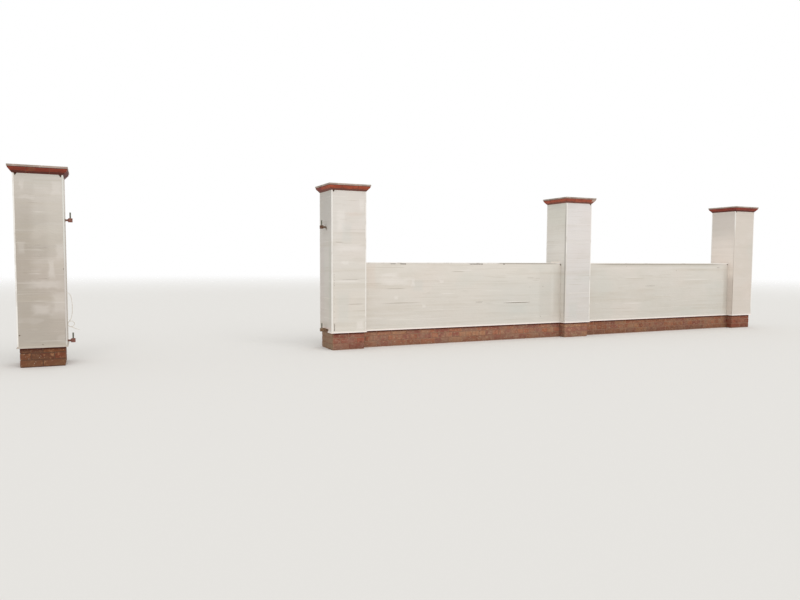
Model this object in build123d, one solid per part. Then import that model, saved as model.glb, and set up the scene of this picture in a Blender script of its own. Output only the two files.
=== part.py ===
"""Rendered brick garden wall: four square piers, a gateway and two low bays.

Units are millimetres. The wall runs along X, its front faces -Y and +Z is up.
The origin is on the ground at the middle of the whole wall.
"""

from build123d import *
import math
import os

# Brick and mortar sizes
brick_length = 215.0
mortar_joint = 10.0
course_height = 75.0

# Brick cores: the piers are two bricks square, the bays are one brick thick
pier_core = 2 * brick_length + mortar_joint
bay_core = brick_length

# Base coat of render and the plastic beads that stand proud of it
coat_thickness = 20.0
bead_proud = 2.0
bead_leg = 14.0
bead_web = 6.0
bead_nose_radius = 2.0

# Clear lengths between the bead noses of neighbouring piers
gateway_width = 3071.0
first_bay_length = 3296.0
second_bay_length = 3231.0

# Heights above the lowest ground
plinth_height = 3 * course_height
left_plinth_drop = 13.0
bay_courses = 15
bay_top_coat = 23.0
left_gate_pier_height = 2087.0
right_gate_pier_height = 2078.0
middle_pier_height = 2065.0
end_pier_height = 2065.0

# Bell-cast bead at the foot of the render
bell_projection = 30.0
bell_lip = 4.0
bell_height = 22.0

# Pier caps: a canted brick course under a thin slab
cap_course_height = 65.0
cap_cant_height = 50.0
cap_course_overhang = 42.0
cap_slab_overhang = 48.0
cap_slab_thickness = 25.0
cap_slab_fall = 3.0

# Broken render: the wedges below the caps, the chips under the bay's top bead,
# the patch left open round the lower right hook and the crescent by the upper
wedge_inset = 14.0
wedge_width = 34.0
wedge_drop = 28.0
chip_height = 14.0
chip_depth = 12.0
end_chip_length = 18.0
end_chip_height = 16.0
patch_front = -105.0
patch_back = 205.0
patch_height = 48.0
crescent_radius = 64.0
crescent_bite_radius = 147.0
crescent_bite_shift = 108.0
crescent_turn = 55.0
crescent_back = 12.0
crescent_drop = 46.0

# Gate hooks: an arm built into the brickwork, a block and an upright pin
arm_radius = 11.0
block_length = 46.0
block_width = 34.0
block_height = 44.0
block_corner = 5.0
pin_offset = 56.0
pin_radius = 8.0
pin_length = 66.0
pin_chamfer = 2.0
lower_pin_rise = 51.0
upper_pin_base = 1634.0

# Cable tail that hangs from the left gate pier. Its points are distances out
# from the pier's face and heights above the ground.
cable_diameter = 6.5
cable_depth = 30.0
cable_drop = (
    (0, 792), (15, 792), (32, 778), (44, 746), (51, 698), (54, 640), (53, 582), (47, 531), (37, 496)
)
cable_loop_centre = (38.0, 440.0)
cable_loop_radius = 34.0
cable_loop_pitch = 10.0
cable_loop_start = 112.0
cable_loop_step = 30.0
cable_loop_points = 17
cable_end = ((51, 402), (72, 391), (96, 378), (123, 371))
cable_arc_share = 0.45

# Values worked out from the sizes above
pier_coat = pier_core + 2 * coat_thickness
pier_width = pier_coat + 2 * bead_proud
bay_coat = bay_core + 2 * coat_thickness
bay_core_height = bay_courses * course_height
bay_coat_top = bay_core_height + bay_top_coat
bay_height = bay_coat_top + bead_proud
left_plinth_height = plinth_height - left_plinth_drop
lower_pin_base = plinth_height + lower_pin_rise
total_length = 4 * pier_width + gateway_width + first_bay_length + second_bay_length

left_gate_x = -total_length / 2 + pier_width / 2
right_gate_x = left_gate_x + pier_width + gateway_width
middle_x = right_gate_x + pier_width + first_bay_length
end_x = middle_x + pier_width + second_bay_length

# name: centre, height of the plinth, height of the cap's underside, the sides
# that a bay meets (-1 left, 1 right) and the corners with a broken wedge of
# render, each as its side along X and its face (-1 front, 1 back)
PIERS = {
    "left_gate_pier": (left_gate_x, left_plinth_height, left_gate_pier_height, (), ((-1, -1), (1, -1))),
    "right_gate_pier": (right_gate_x, plinth_height, right_gate_pier_height, (1,), ((-1, -1),)),
    "middle_pier": (middle_x, plinth_height, middle_pier_height, (-1, 1), ((1, -1), (-1, 1))),
    "end_pier": (end_x, plinth_height, end_pier_height, (-1,), ((-1, -1),)),
}

# name: centres of the left and the right pier, and each chip under the front top
# bead as its place from the left end of the bay and its length
BAYS = {
    "first_bay": (right_gate_x, middle_x, ((402, 83), (546, 99), (1643, 253), (2231, 32))),
    "second_bay": (middle_x, end_x, ()),
}


def block(x0, x1, y0, y1, z0, z1):
    """A box from its low and high corners."""
    return Pos((x0 + x1) / 2, (y0 + y1) / 2, (z0 + z1) / 2) * Box(x1 - x0, y1 - y0, z1 - z0)


def square_block(width, z0, z1):
    """A square box centred on the Z axis."""
    return block(-width / 2, width / 2, -width / 2, width / 2, z0, z1)


def tapered_block(low_width, high_width, z0, z1):
    """A square block whose sides lean from one width to another."""
    low = Pos(0, 0, z0) * Rectangle(low_width, low_width)
    high = Pos(0, 0, z1) * Rectangle(high_width, high_width)
    return loft([low.face(), high.face()])


def bay_slot(side, half_width, z0, z1):
    """The space that a bay takes where it runs into a pier's side."""
    far = pier_width
    if side < 0:
        return block(-far, 0, -half_width, half_width, z0, z1)
    return block(0, far, -half_width, half_width, z0, z1)


def pier_brickwork(cap_underside):
    return square_block(pier_core, 0, cap_underside)


def corner_beads(plinth, cap_underside):
    """Four angle beads, nose outwards, from the bell bead to the cap."""
    half = pier_width / 2
    profile = Polyline(
        (half - bead_leg, half),
        (half, half),
        (half, half - bead_leg),
        (half - bead_web, half - bead_leg),
        (half - bead_web, half - bead_web),
        (half - bead_leg, half - bead_web),
        close=True,
    )
    foot = plinth + bell_height
    bead = extrude(Pos(0, 0, foot) * make_face(profile), amount=cap_underside - foot)
    nose = bead.edges().filter_by(Axis.Z).sort_by(lambda edge: edge.center().X + edge.center().Y)[-1]
    bead = fillet(nose, bead_nose_radius)
    return [Rot(0, 0, quarter * 90) * bead for quarter in range(4)]


def render_wedge(side, face, cap_underside):
    """A triangular hole through the base coat, beside a corner bead."""
    near = pier_width / 2 - wedge_inset
    far = near - wedge_width
    tip = (near + far) / 2 + wedge_width / 6
    outline = Polyline(
        (side * near, cap_underside),
        (side * far, cap_underside),
        (side * tip, cap_underside - wedge_drop),
        close=True,
    )
    # Plane.XZ looks along +Y, so its extrusion runs towards -Y
    wedge = extrude(Plane.XZ * make_face(outline), amount=coat_thickness)
    front = -pier_core / 2
    back = pier_core / 2 + coat_thickness
    return Pos(0, front if face < 0 else back, 0) * wedge


def pier_render(plinth, cap_underside, bay_sides, wedges, beads, hooks, patched):
    foot = plinth + bell_height
    coat = square_block(pier_coat, foot, cap_underside)
    coat -= square_block(pier_core, foot, cap_underside)
    for side in bay_sides:
        coat -= bay_slot(side, bay_core / 2, foot, bay_core_height)
    for bead in beads:
        coat -= bead
    for side, face in wedges:
        coat -= render_wedge(side, face, cap_underside)
    for hook in hooks:
        coat -= hook
    if patched:
        coat -= broken_patch(plinth)
        coat -= broken_crescent()
    return coat


def broken_patch(plinth):
    """Where render and bell bead are missing under the lower right hook."""
    return block(-pier_width, 0, patch_front, patch_back, plinth, plinth + patch_height)


def broken_crescent():
    """A curved gap in the left face's render, over and before the hook's arm."""
    centre_height = upper_pin_base - block_height / 2 - crescent_drop
    whole = Circle(crescent_radius)
    bite = Pos(-crescent_bite_shift, 0) * Circle(crescent_bite_radius)
    gap = Rot(0, 0, crescent_turn) * (whole - bite)
    # Plane.YZ faces +X, so the gap's X runs to the back and its Y upwards
    cut = extrude(Plane.YZ * mirror(gap, about=Plane.YZ), amount=coat_thickness)
    return Pos(-pier_coat / 2, crescent_back, centre_height) * cut


def bell_bead(plinth, bay_sides, patched):
    """A bell-cast bead round a pier, open where a bay or a patch breaks it."""
    nose = pier_core + 2 * bell_projection
    ring = square_block(nose, plinth, plinth + bell_lip)
    ring += tapered_block(nose, pier_coat, plinth + bell_lip, plinth + bell_height)
    ring -= square_block(pier_core, plinth, plinth + bell_height)
    for side in bay_sides:
        ring -= bay_slot(side, bay_core / 2 + bell_projection, plinth, plinth + bell_height)
    if patched:
        ring -= broken_patch(plinth)
    return ring


def cap_course(underside):
    """Canted bricks laid face down, flush with the render and stepping out."""
    wide = pier_width + 2 * cap_course_overhang
    course = tapered_block(pier_width, wide, underside, underside + cap_cant_height)
    course += square_block(wide, underside + cap_cant_height, underside + cap_course_height)
    return course


def cap_slab(underside):
    """A thin slab whose top falls slightly from the middle to its edges."""
    base = underside + cap_course_height
    wide = pier_width + 2 * cap_slab_overhang
    edge = cap_slab_thickness - cap_slab_fall
    slab = square_block(wide, base, base + edge)
    slab += tapered_block(wide, wide / 3, base + edge, base + cap_slab_thickness)
    return slab


def bay_brickwork(left, right):
    """The bay's core, from one pier's brickwork to the next."""
    return block(
        left + pier_core / 2, right - pier_core / 2, -bay_core / 2, bay_core / 2, 0, bay_core_height
    )


def bay_top_beads(left, right):
    """The front and back angle beads along the top of a bay."""
    half = bay_coat / 2 + bead_proud
    top = bay_height
    profile = Polyline(
        (half - bead_leg, top),
        (half, top),
        (half, top - bead_leg),
        (half - bead_web, top - bead_leg),
        (half - bead_web, top - bead_web),
        (half - bead_leg, top - bead_web),
        close=True,
    )
    start = left + pier_coat / 2
    length = right - left - pier_coat
    # Plane.YZ looks along -X, so its extrusion runs towards +X
    back = Pos(start, 0, 0) * extrude(Plane.YZ * make_face(profile), amount=length)
    nose = back.edges().filter_by(Axis.X).sort_by(lambda edge: edge.center().Y + edge.center().Z)[-1]
    back = fillet(nose, bead_nose_radius)
    front = mirror(back, about=Plane.XZ)
    return [front, back]


def bay_render(left, right, chips, beads):
    """Base coat on the front, back and top of a bay, between the piers."""
    start = left + pier_coat / 2
    end = right - pier_coat / 2
    foot = plinth_height + bell_height
    coat = block(start, end, -bay_coat / 2, bay_coat / 2, foot, bay_coat_top)
    coat -= block(start, end, -bay_core / 2, bay_core / 2, foot, bay_core_height)
    for bead in beads:
        coat -= bead
    chip_top = bay_height - bead_leg
    front = -bay_coat / 2
    for place, length in chips:
        chip_start = start + place
        coat -= block(
            chip_start, chip_start + length, front, front + chip_depth, chip_top - chip_height, chip_top
        )
    coat -= block(
        end - end_chip_length, end, front, front + chip_depth, chip_top - end_chip_height, chip_top
    )
    return coat


def bay_bell_beads(left, right):
    """Bell-cast beads along the foot of a bay's front and back render."""
    inner = bay_core / 2
    nose = inner + bell_projection
    profile = Polyline(
        (inner, plinth_height),
        (nose, plinth_height),
        (nose, plinth_height + bell_lip),
        (inner + coat_thickness, plinth_height + bell_height),
        (inner, plinth_height + bell_height),
        close=True,
    )
    start = left + pier_core / 2
    length = right - left - pier_core
    back = Pos(start, 0, 0) * extrude(Plane.YZ * make_face(profile), amount=length)
    return [mirror(back, about=Plane.XZ), back]


def gate_hook(pin_base):
    """A gate hook facing +X, built into a pier whose brick face is at X = 0."""
    face = coat_thickness
    arm_height = pin_base - block_height / 2
    arm = Pos(0, 0, arm_height) * Rot(0, 90, 0) * Cylinder(
        arm_radius, face + pin_offset, align=(Align.CENTER, Align.CENTER, Align.MIN)
    )
    block_start = face + pin_offset - block_length / 2
    knuckle = block(
        block_start,
        block_start + block_length,
        -block_width / 2,
        block_width / 2,
        pin_base - block_height,
        pin_base,
    )
    knuckle = fillet(knuckle.edges().filter_by(Axis.Z), block_corner)
    pin = Pos(face + pin_offset, 0, pin_base) * Cylinder(
        pin_radius, pin_length, align=(Align.CENTER, Align.CENTER, Align.MIN)
    )
    pin = chamfer(pin.edges().sort_by(Axis.Z)[-1], pin_chamfer)
    return arm + knuckle + pin


def cable_route():
    """The cable's points: the drop, one and a half turns of loop, and the end."""
    face_x = left_gate_x + pier_coat / 2
    centre_out, centre_height = cable_loop_centre
    points = [Vector(face_x + out, cable_depth, height) for out, height in cable_drop]
    for number in range(1, cable_loop_points + 1):
        turned = number * cable_loop_step
        angle = math.radians(cable_loop_start + turned)
        points.append(
            Vector(
                face_x + centre_out + cable_loop_radius * math.cos(angle),
                cable_depth - cable_loop_pitch * turned / 360,
                centre_height + cable_loop_radius * math.sin(angle),
            )
        )
    end_depth = points[-1].Y
    points += [Vector(face_x + out, end_depth, height) for out, height in cable_end]
    return points


def cable_tail():
    points = cable_route()
    radii = []
    for before, corner, after in zip(points, points[1:], points[2:]):
        run_in = corner - before
        run_out = after - corner
        half_turn = math.radians(run_in.get_angle(run_out)) / 2
        shorter = min(run_in.length, run_out.length)
        radii.append(cable_arc_share * shorter / math.tan(half_turn))
    print("cable arc radii", [round(radius) for radius in radii])
    path = FilletPolyline(*points, radius=radii)
    start = Plane(origin=path @ 0, z_dir=path % 0)
    tube = sweep(start * Circle(cable_diameter / 2), path=path)
    section = math.pi * cable_diameter**2 / 4
    print("cable length", round(path.length), "volume ratio", round(tube.volume / (section * path.length), 4))
    return tube


def write(name, shapes):
    """Write one sub-part, as one solid or as solids that stay apart."""
    shapes = shapes if isinstance(shapes, list) else [shapes]
    solids = [solid for shape in shapes for solid in shape.solids()]
    body = solids[0] if len(solids) == 1 else Compound(children=solids)
    body.label = name
    export_step(body, f"parts/{name}.step")


os.makedirs("parts", exist_ok=True)

gate_hooks = {"lower": gate_hook(lower_pin_base), "upper": gate_hook(upper_pin_base)}
hook_side = {"left_gate_pier": 1, "right_gate_pier": -1}

for name, (centre, plinth, underside, bay_sides, wedges) in PIERS.items():
    place = Pos(centre, 0, 0)
    patched = name == "right_gate_pier"
    beads = corner_beads(plinth, underside)
    hooks = []
    if name in hook_side:
        turn = Rot(0, 0, 0 if hook_side[name] > 0 else 180)
        hooks = [turn * Pos(pier_core / 2, 0, 0) * hook for hook in gate_hooks.values()]
        for level, hook in zip(gate_hooks, hooks):
            write(f"{name}_{level}_hook", place * hook)
    write(f"{name}_brickwork", place * pier_brickwork(underside))
    coat = pier_render(plinth, underside, bay_sides, wedges, beads, hooks, patched)
    write(f"{name}_render", place * coat)
    write(f"{name}_corner_beads", [place * bead for bead in beads])
    write(f"{name}_bell_bead", place * bell_bead(plinth, bay_sides, patched))
    write(f"{name}_cap_course", place * cap_course(underside))
    write(f"{name}_cap_slab", place * cap_slab(underside))

for name, (left, right, chips) in BAYS.items():
    beads = bay_top_beads(left, right)
    write(f"{name}_brickwork", bay_brickwork(left, right))
    write(f"{name}_render", bay_render(left, right, chips, beads))
    write(f"{name}_top_beads", beads)
    write(f"{name}_bell_beads", bay_bell_beads(left, right))

write("cable_tail", cable_tail())
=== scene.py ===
"""Rendered garden wall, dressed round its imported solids.

Metres throughout. The wall runs along X, its front faces -Y and +Z is up.
"""

import math
import random

import bmesh
import bpy
from mathutils import Matrix, Vector
from mathutils.noise import noise as soft_noise


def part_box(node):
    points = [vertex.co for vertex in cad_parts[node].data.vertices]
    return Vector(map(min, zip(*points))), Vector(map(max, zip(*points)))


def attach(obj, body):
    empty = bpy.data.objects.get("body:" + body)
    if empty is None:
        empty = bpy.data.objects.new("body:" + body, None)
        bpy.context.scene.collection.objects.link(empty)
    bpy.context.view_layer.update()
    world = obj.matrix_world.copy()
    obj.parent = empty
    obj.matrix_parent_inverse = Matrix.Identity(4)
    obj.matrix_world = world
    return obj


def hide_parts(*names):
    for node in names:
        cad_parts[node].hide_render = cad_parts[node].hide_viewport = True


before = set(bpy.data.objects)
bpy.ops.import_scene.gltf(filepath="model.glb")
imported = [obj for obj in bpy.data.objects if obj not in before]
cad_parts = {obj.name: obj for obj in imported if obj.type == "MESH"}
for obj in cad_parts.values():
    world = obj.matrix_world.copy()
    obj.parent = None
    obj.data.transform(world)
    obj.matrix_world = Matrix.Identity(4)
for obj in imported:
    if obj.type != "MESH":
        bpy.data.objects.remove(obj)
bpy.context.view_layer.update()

# Brickwork. The piers are two bricks square and the bays one brick thick, in fired
# clay facing bricks on 10 mm cement joints, struck a little behind the faces. The
# courses above the plinth show only where the render over them is broken.
PIERS = ("left_gate_pier", "right_gate_pier", "middle_pier", "end_pier")
BAYS = ("first_bay", "second_bay")
brick_length = 0.215
brick_width = 0.1025
brick_height = 0.065
brick_arris = 0.0028
brick_tilt = 0.004
brick_wear = 0.0035
brick_wear_scale = 45.0
joint = 0.010
course = 0.075
# A course that would be a smaller share of its height is left out
least_course = 0.2
joint_recess = 0.0035
face_clearance = 0.0006
# The mortar is uneven up to a little over the plinth, and plain behind the render
mortar_shown = 0.24
mortar_cell = 0.03
mortar_stray = 0.0012
# The piers whose first course has its two stretchers at the sides
turned_bond = ("middle_pier",)


def srgb(red, green, blue):
    """A colour as it looks, each part from 0 to 255, as the linear one that a node takes."""
    parts = [part / 255 for part in (red, green, blue)]
    linear = [part / 12.92 if part < 0.0405 else ((part + 0.055) / 1.055) ** 2.4 for part in parts]
    return (*linear, 1.0)


def put(tree, kind, inputs=(), **settings):
    """Adds a node. Each input is a socket to link from, or a value to set."""
    node = tree.nodes.new(kind)
    for name, value in settings.items():
        setattr(node, name, value)
    for name, value in dict(inputs).items():
        if isinstance(value, bpy.types.NodeSocket):
            tree.links.new(value, node.inputs[name])
        else:
            node.inputs[name].default_value = value
    return node


def vectors(tree, operation, first, second=(0, 0, 0)):
    """Two vectors put together, or one scaled by an amount."""
    inputs = {0: first, "Scale" if operation == "SCALE" else 1: second}
    return put(tree, "ShaderNodeVectorMath", inputs, operation=operation).outputs[0]


class Finish:
    """A material in the making: its nodes, the place on the piece, its colour and relief."""

    def __init__(self, name, roughness, gloss=0.3):
        self.material = bpy.data.materials.new(name)
        self.material.use_nodes = True
        self.tree = self.material.node_tree
        self.shader = self.tree.nodes["Principled BSDF"]
        self.shader.inputs["Roughness"].default_value = roughness
        self.shader.inputs["Specular IOR Level"].default_value = gloss
        self.place = put(self.tree, "ShaderNodeTexCoord").outputs["Object"]
        self.colour = None
        self.normal = None

    def along(self, axis):
        """The place along one axis."""
        return put(self.tree, "ShaderNodeSeparateXYZ", {0: self.place}).outputs[axis]

    def attribute(self, name):
        """An amount that the mesh carries."""
        return put(self.tree, "ShaderNodeAttribute", attribute_name=name).outputs["Fac"]

    def cloud(self, scale, detail=3.0, stretch=(1, 1, 1), shift=(0, 0, 0)):
        """Noise from 0 to 1, with scale lumps to the metre, stretched along the axes."""
        inputs = {"Vector": self.place, "Scale": stretch, "Location": shift}
        moved = put(self.tree, "ShaderNodeMapping", inputs).outputs["Vector"]
        inputs = {"Vector": moved, "Scale": scale, "Detail": detail}
        return put(self.tree, "ShaderNodeTexNoise", inputs).outputs["Fac"]

    def reckon(self, operation, first, second):
        """Two amounts put together."""
        return put(self.tree, "ShaderNodeMath", {0: first, 1: second}, operation=operation).outputs[0]

    def mask(self, value, low, high, most=1.0):
        """A soft step, 0 below low and most above high."""
        inputs = {"Value": value, "From Min": low, "From Max": high, "To Max": most}
        node = put(self.tree, "ShaderNodeMapRange", inputs, interpolation_type="SMOOTHSTEP")
        return node.outputs["Result"]

    def inside_box(self, spot, middle, reach, edge=0.4):
        """1 in a soft-edged box round a place, 0 outside it."""
        shares = vectors(self.tree, "DIVIDE", vectors(self.tree, "SUBTRACT", spot, middle), reach)
        sides = vectors(self.tree, "ABSOLUTE", shares)
        parts = put(self.tree, "ShaderNodeSeparateXYZ", {0: sides}).outputs
        widest = self.reckon("MAXIMUM", parts["X"], parts["Z"])
        widest = self.reckon("MAXIMUM", widest, parts["Y"])
        return self.mask(widest, 1.0, 1.0 - edge)

    def blend(self, amount, under, over, mode="MIX"):
        """One linear colour over another, by an amount from 0 to 1."""
        inputs = {0: amount, 6: under, 7: over}
        return put(self.tree, "ShaderNodeMix", inputs, data_type="RGBA", blend_type=mode).outputs[2]

    def ground(self, amount, first, second):
        """Starts the colour between two tones."""
        self.colour = self.blend(amount, srgb(*first), srgb(*second))

    def wash(self, amount, tone):
        """Lays a tone over the colour."""
        self.colour = self.blend(amount, self.colour, srgb(*tone))

    def lay_stains_and_shading(self, stains_and_shading):
        """Lays stains and painted light and shade over the colour, each a tone, an amount, a middle and a
        reach.
        """
        for tone, amount, middle, reach in stains_and_shading:
            self.wash(self.reckon("MULTIPLY", self.inside_box(self.place, middle, reach), amount), tone)

    def relief(self, height, distance):
        """Raises the surface by a height map, over what is raised already."""
        inputs = {"Height": height, "Distance": distance, "Strength": 1.0}
        if self.normal is not None:
            inputs["Normal"] = self.normal
        self.normal = put(self.tree, "ShaderNodeBump", inputs).outputs["Normal"]

    def made(self):
        """The material, its colour and relief on the shader."""
        self.tree.links.new(self.colour, self.shader.inputs["Base Color"])
        self.tree.links.new(self.normal, self.shader.inputs["Normal"])
        return self.material


def stations(start, end, step):
    """Even places from start to end, about a step apart."""
    count = max(1, round((end - start) / step))
    return [start + (end - start) * number / count for number in range(count + 1)]


def loft(bm, rings, loop=False, material=0):
    """Joins rings of points in order: a bar with two end faces, or a closed loop."""
    rows = [[bm.verts.new(point) for point in ring] for ring in rings]
    pairs = list(zip(rows, rows[1:])) + ([(rows[-1], rows[0])] if loop else [])
    faces = []
    for low, high in pairs:
        for here in range(len(low)):
            there = (here + 1) % len(low)
            faces.append(bm.faces.new((low[here], low[there], high[there], high[here])))
    if not loop:
        faces.append(bm.faces.new(rows[0][::-1]))
        faces.append(bm.faces.new(rows[-1]))
    for face in faces:
        face.material_index = material
    return rows


def shown(name, data):
    """A new object in the scene, on the data given."""
    thing = bpy.data.objects.new(name, data)
    bpy.context.scene.collection.objects.link(thing)
    return thing


def as_object(name, bm, *materials):
    """The finished shape as an object, its doubles merged and its faces outwards."""
    bmesh.ops.remove_doubles(bm, verts=bm.verts, dist=1e-6)
    bmesh.ops.recalc_face_normals(bm, faces=bm.faces)
    mesh = bpy.data.meshes.new(name)
    bm.to_mesh(mesh)
    bm.free()
    for material in materials:
        mesh.materials.append(material)
    return shown(name, mesh)


def baked(name, source):
    """What a modified object shows, as a plain mesh in a new object. The source goes."""
    graph = bpy.context.evaluated_depsgraph_get()
    mesh = bpy.data.meshes.new_from_object(
        source.evaluated_get(graph), preserve_all_data_layers=True, depsgraph=graph
    )
    bpy.data.objects.remove(source)
    mesh.name = name
    return shown(name, mesh)


def settle(thing, slot, *nodes):
    """The piece rides on the wall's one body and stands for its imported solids."""
    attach(thing, "root")
    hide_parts(*nodes)


def places_object(name, places):
    """Points with a turn about Z and a size along each axis, one for each piece."""
    mesh = bpy.data.meshes.new(name)
    mesh.from_pydata([spot for spot, turn, size in places], [], [])
    turns = mesh.attributes.new("turn", "FLOAT", "POINT")
    turns.data.foreach_set("value", [turn for spot, turn, size in places])
    sizes = mesh.attributes.new("cut", "FLOAT_VECTOR", "POINT")
    sizes.data.foreach_set("vector", [part for spot, turn, size in places for part in size])
    return shown(name, mesh)


def set_out_tree():
    """Sets a piece on each place, tilted, worn and fired a little differently."""
    tree = bpy.data.node_groups.new("set out by hand", "GeometryNodeTree")
    for name, kind in (
        ("Places", "NodeSocketGeometry"),
        ("Piece", "NodeSocketObject"),
        ("Body", "NodeSocketObject"),
        ("Tilt", "NodeSocketFloat"),
        ("Wear", "NodeSocketFloat"),
        ("Wear scale", "NodeSocketFloat"),
        ("Seed", "NodeSocketInt"),
        ("Finish", "NodeSocketMaterial"),
    ):
        tree.interface.new_socket(name=name, in_out="INPUT", socket_type=kind)
    tree.interface.new_socket(name="Set out", in_out="OUTPUT", socket_type="NodeSocketGeometry")
    given = put(tree, "NodeGroupInput").outputs
    turn = put(tree, "GeometryNodeInputNamedAttribute", {"Name": "turn"}, data_type="FLOAT")
    size = put(tree, "GeometryNodeInputNamedAttribute", {"Name": "cut"}, data_type="FLOAT_VECTOR")
    upright = put(tree, "ShaderNodeCombineXYZ", {"Z": turn.outputs["Attribute"]}).outputs[0]
    either_way = {0: (-1, -1, -1), 1: (1, 1, 1), "Seed": given["Seed"]}
    lean = put(tree, "FunctionNodeRandomValue", either_way, data_type="FLOAT_VECTOR").outputs[0]
    lean = vectors(tree, "SCALE", lean, given["Tilt"])
    laying = {
        "Points": given["Places"],
        "Instance": put(tree, "GeometryNodeObjectInfo", {"Object": given["Piece"]}).outputs["Geometry"],
        "Rotation": vectors(tree, "ADD", upright, lean),
        "Scale": size.outputs["Attribute"],
    }
    laid = put(tree, "GeometryNodeInstanceOnPoints", laying).outputs["Instances"]
    zero_to_one = {2: 0.0, 3: 1.0, "Seed": given["Seed"]}
    firing = put(tree, "FunctionNodeRandomValue", zero_to_one, data_type="FLOAT").outputs[1]
    marking = {"Geometry": laid, "Name": "firing", "Value": firing}
    fired = put(tree, "GeometryNodeStoreNamedAttribute", marking, data_type="FLOAT", domain="INSTANCE")
    real = put(tree, "GeometryNodeRealizeInstances", {"Geometry": fired.outputs["Geometry"]})
    spot = put(tree, "GeometryNodeInputPosition").outputs[0]
    lumps = put(tree, "ShaderNodeTexNoise", {"Vector": spot, "Scale": given["Wear scale"]}).outputs["Color"]
    wear = vectors(tree, "SCALE", vectors(tree, "SUBTRACT", lumps, (0.5, 0.5, 0.5)), given["Wear"])
    worn = put(tree, "GeometryNodeSetPosition", {"Geometry": real.outputs["Geometry"], "Offset": wear})
    finishing = {"Geometry": worn.outputs["Geometry"], "Material": given["Finish"]}
    finished = put(tree, "GeometryNodeSetMaterial", finishing).outputs["Geometry"]
    body = put(tree, "GeometryNodeObjectInfo", {"Object": given["Body"]}).outputs["Geometry"]
    joined = put(tree, "GeometryNodeJoinGeometry")
    tree.links.new(body, joined.inputs[0])
    tree.links.new(finished, joined.inputs[0])
    put(tree, "NodeGroupOutput", {"Set out": joined.outputs[0]})
    return tree


def set_out(name, places, **values):
    """Runs the tree above on a list of places and returns a plain mesh object."""
    source = places_object(name + "_places", places)
    modifier = source.modifiers.new("set out", "NODES")
    modifier.node_group = set_out_by_hand
    for item in set_out_by_hand.interface.items_tree:
        value = values.get(item.name.lower().replace(" ", "_"))
        if item.in_out == "INPUT" and value is not None:
            modifier[item.identifier] = value
    thing = baked(name, source)
    bpy.data.objects.remove(values["body"])
    return thing


def fired_brick():
    """One brick with worn arrises, centred, in a few dozen faces."""
    bm = bmesh.new()
    bmesh.ops.create_cube(bm, size=1)
    bmesh.ops.scale(bm, vec=(brick_length, brick_width, brick_height), verts=bm.verts)
    long_edges = [edge for edge in bm.edges if abs(edge.verts[0].co.x - edge.verts[1].co.x) > 0.1]
    bmesh.ops.subdivide_edges(bm, edges=long_edges, cuts=2, use_grid_fill=True)
    arrises = [edge for edge in bm.edges if edge.calc_face_angle(0) > 1]
    bmesh.ops.bevel(bm, geom=arrises, offset=brick_arris, segments=1, affect="EDGES")
    return as_object("fired_brick", bm)


def clay_finish(name, bricks, shade, foot, stains_and_shading):
    """Fired clay in a range of firings, hazed with mortar and splashed with render."""
    firings, haze_tone, dustiness = bricks
    clay = Finish(name, 0.88)
    ramp = put(clay.tree, "ShaderNodeValToRGB", {"Fac": clay.attribute("firing")})
    ramp.color_ramp.interpolation = "CONSTANT"
    stops = ramp.color_ramp.elements
    while len(stops) < len(firings):
        stops.new(0.5)
    for number, tone in enumerate(firings):
        stops[number].position = number / len(firings)
        stops[number].color = srgb(*tone)
    clay.colour = ramp.outputs["Color"]
    mottle = clay.cloud(26, 4)
    clay.wash(clay.mask(mottle, 0.52, 0.72, 0.4), (190, 146, 110))
    clay.wash(clay.mask(mottle, 0.48, 0.3, 0.5), (108, 74, 60))
    clay.wash(clay.mask(clay.cloud(8, 5, shift=(3, 1, 2)), 0.42, 0.66, 0.55), haze_tone)
    dust = clay.cloud(44, 3, stretch=(0.6, 0.6, 1), shift=(2, 8, 4))
    clay.wash(clay.mask(dust, 0.56, 0.68, dustiness), (196, 164, 132))
    # Earth splashed up from the ground
    height = clay.along("Z")
    clay.wash(clay.mask(height, 0.13, 0.0, 0.4), (112, 84, 64))
    clay.colour = clay.blend(1.0, clay.colour, (*shade, 1.0), "MULTIPLY")
    # Painted shadow: the bricks are darkened in a line under the bell bead
    under_bead_shadow = clay.mask(height, foot - 0.034, foot - 0.01)
    clay.wash(clay.reckon("MULTIPLY", under_bead_shadow, clay.mask(mottle, 0.15, 0.4)), (84, 40, 30))
    # Over it, where the render is broken, they are caked with mortar
    clay.wash(clay.mask(height, foot + 0.002, foot + 0.006, 0.8), (140, 114, 90))
    clay.lay_stains_and_shading(stains_and_shading)
    clay.wash(clay.mask(clay.cloud(70, 2, shift=(7, 7, 7)), 0.7, 0.74, 0.7), (206, 190, 170))
    clay.relief(clay.cloud(60, 4), 0.0022)
    clay.relief(clay.cloud(420, 2), 0.0005)
    return clay.made()


def mortar_finish(name, lean, rich, stain_tone):
    """Struck cement mortar between two tones, stained by the bricks."""
    mortar = Finish(name, 0.95)
    sand = mortar.cloud(300, 3)
    mortar.ground(mortar.mask(sand, 0.35, 0.65), lean, rich)
    mortar.wash(mortar.mask(mortar.cloud(5, 3), 0.45, 0.65, 0.6), stain_tone)
    mortar.relief(sand, 0.0012)
    return mortar.made()


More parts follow.
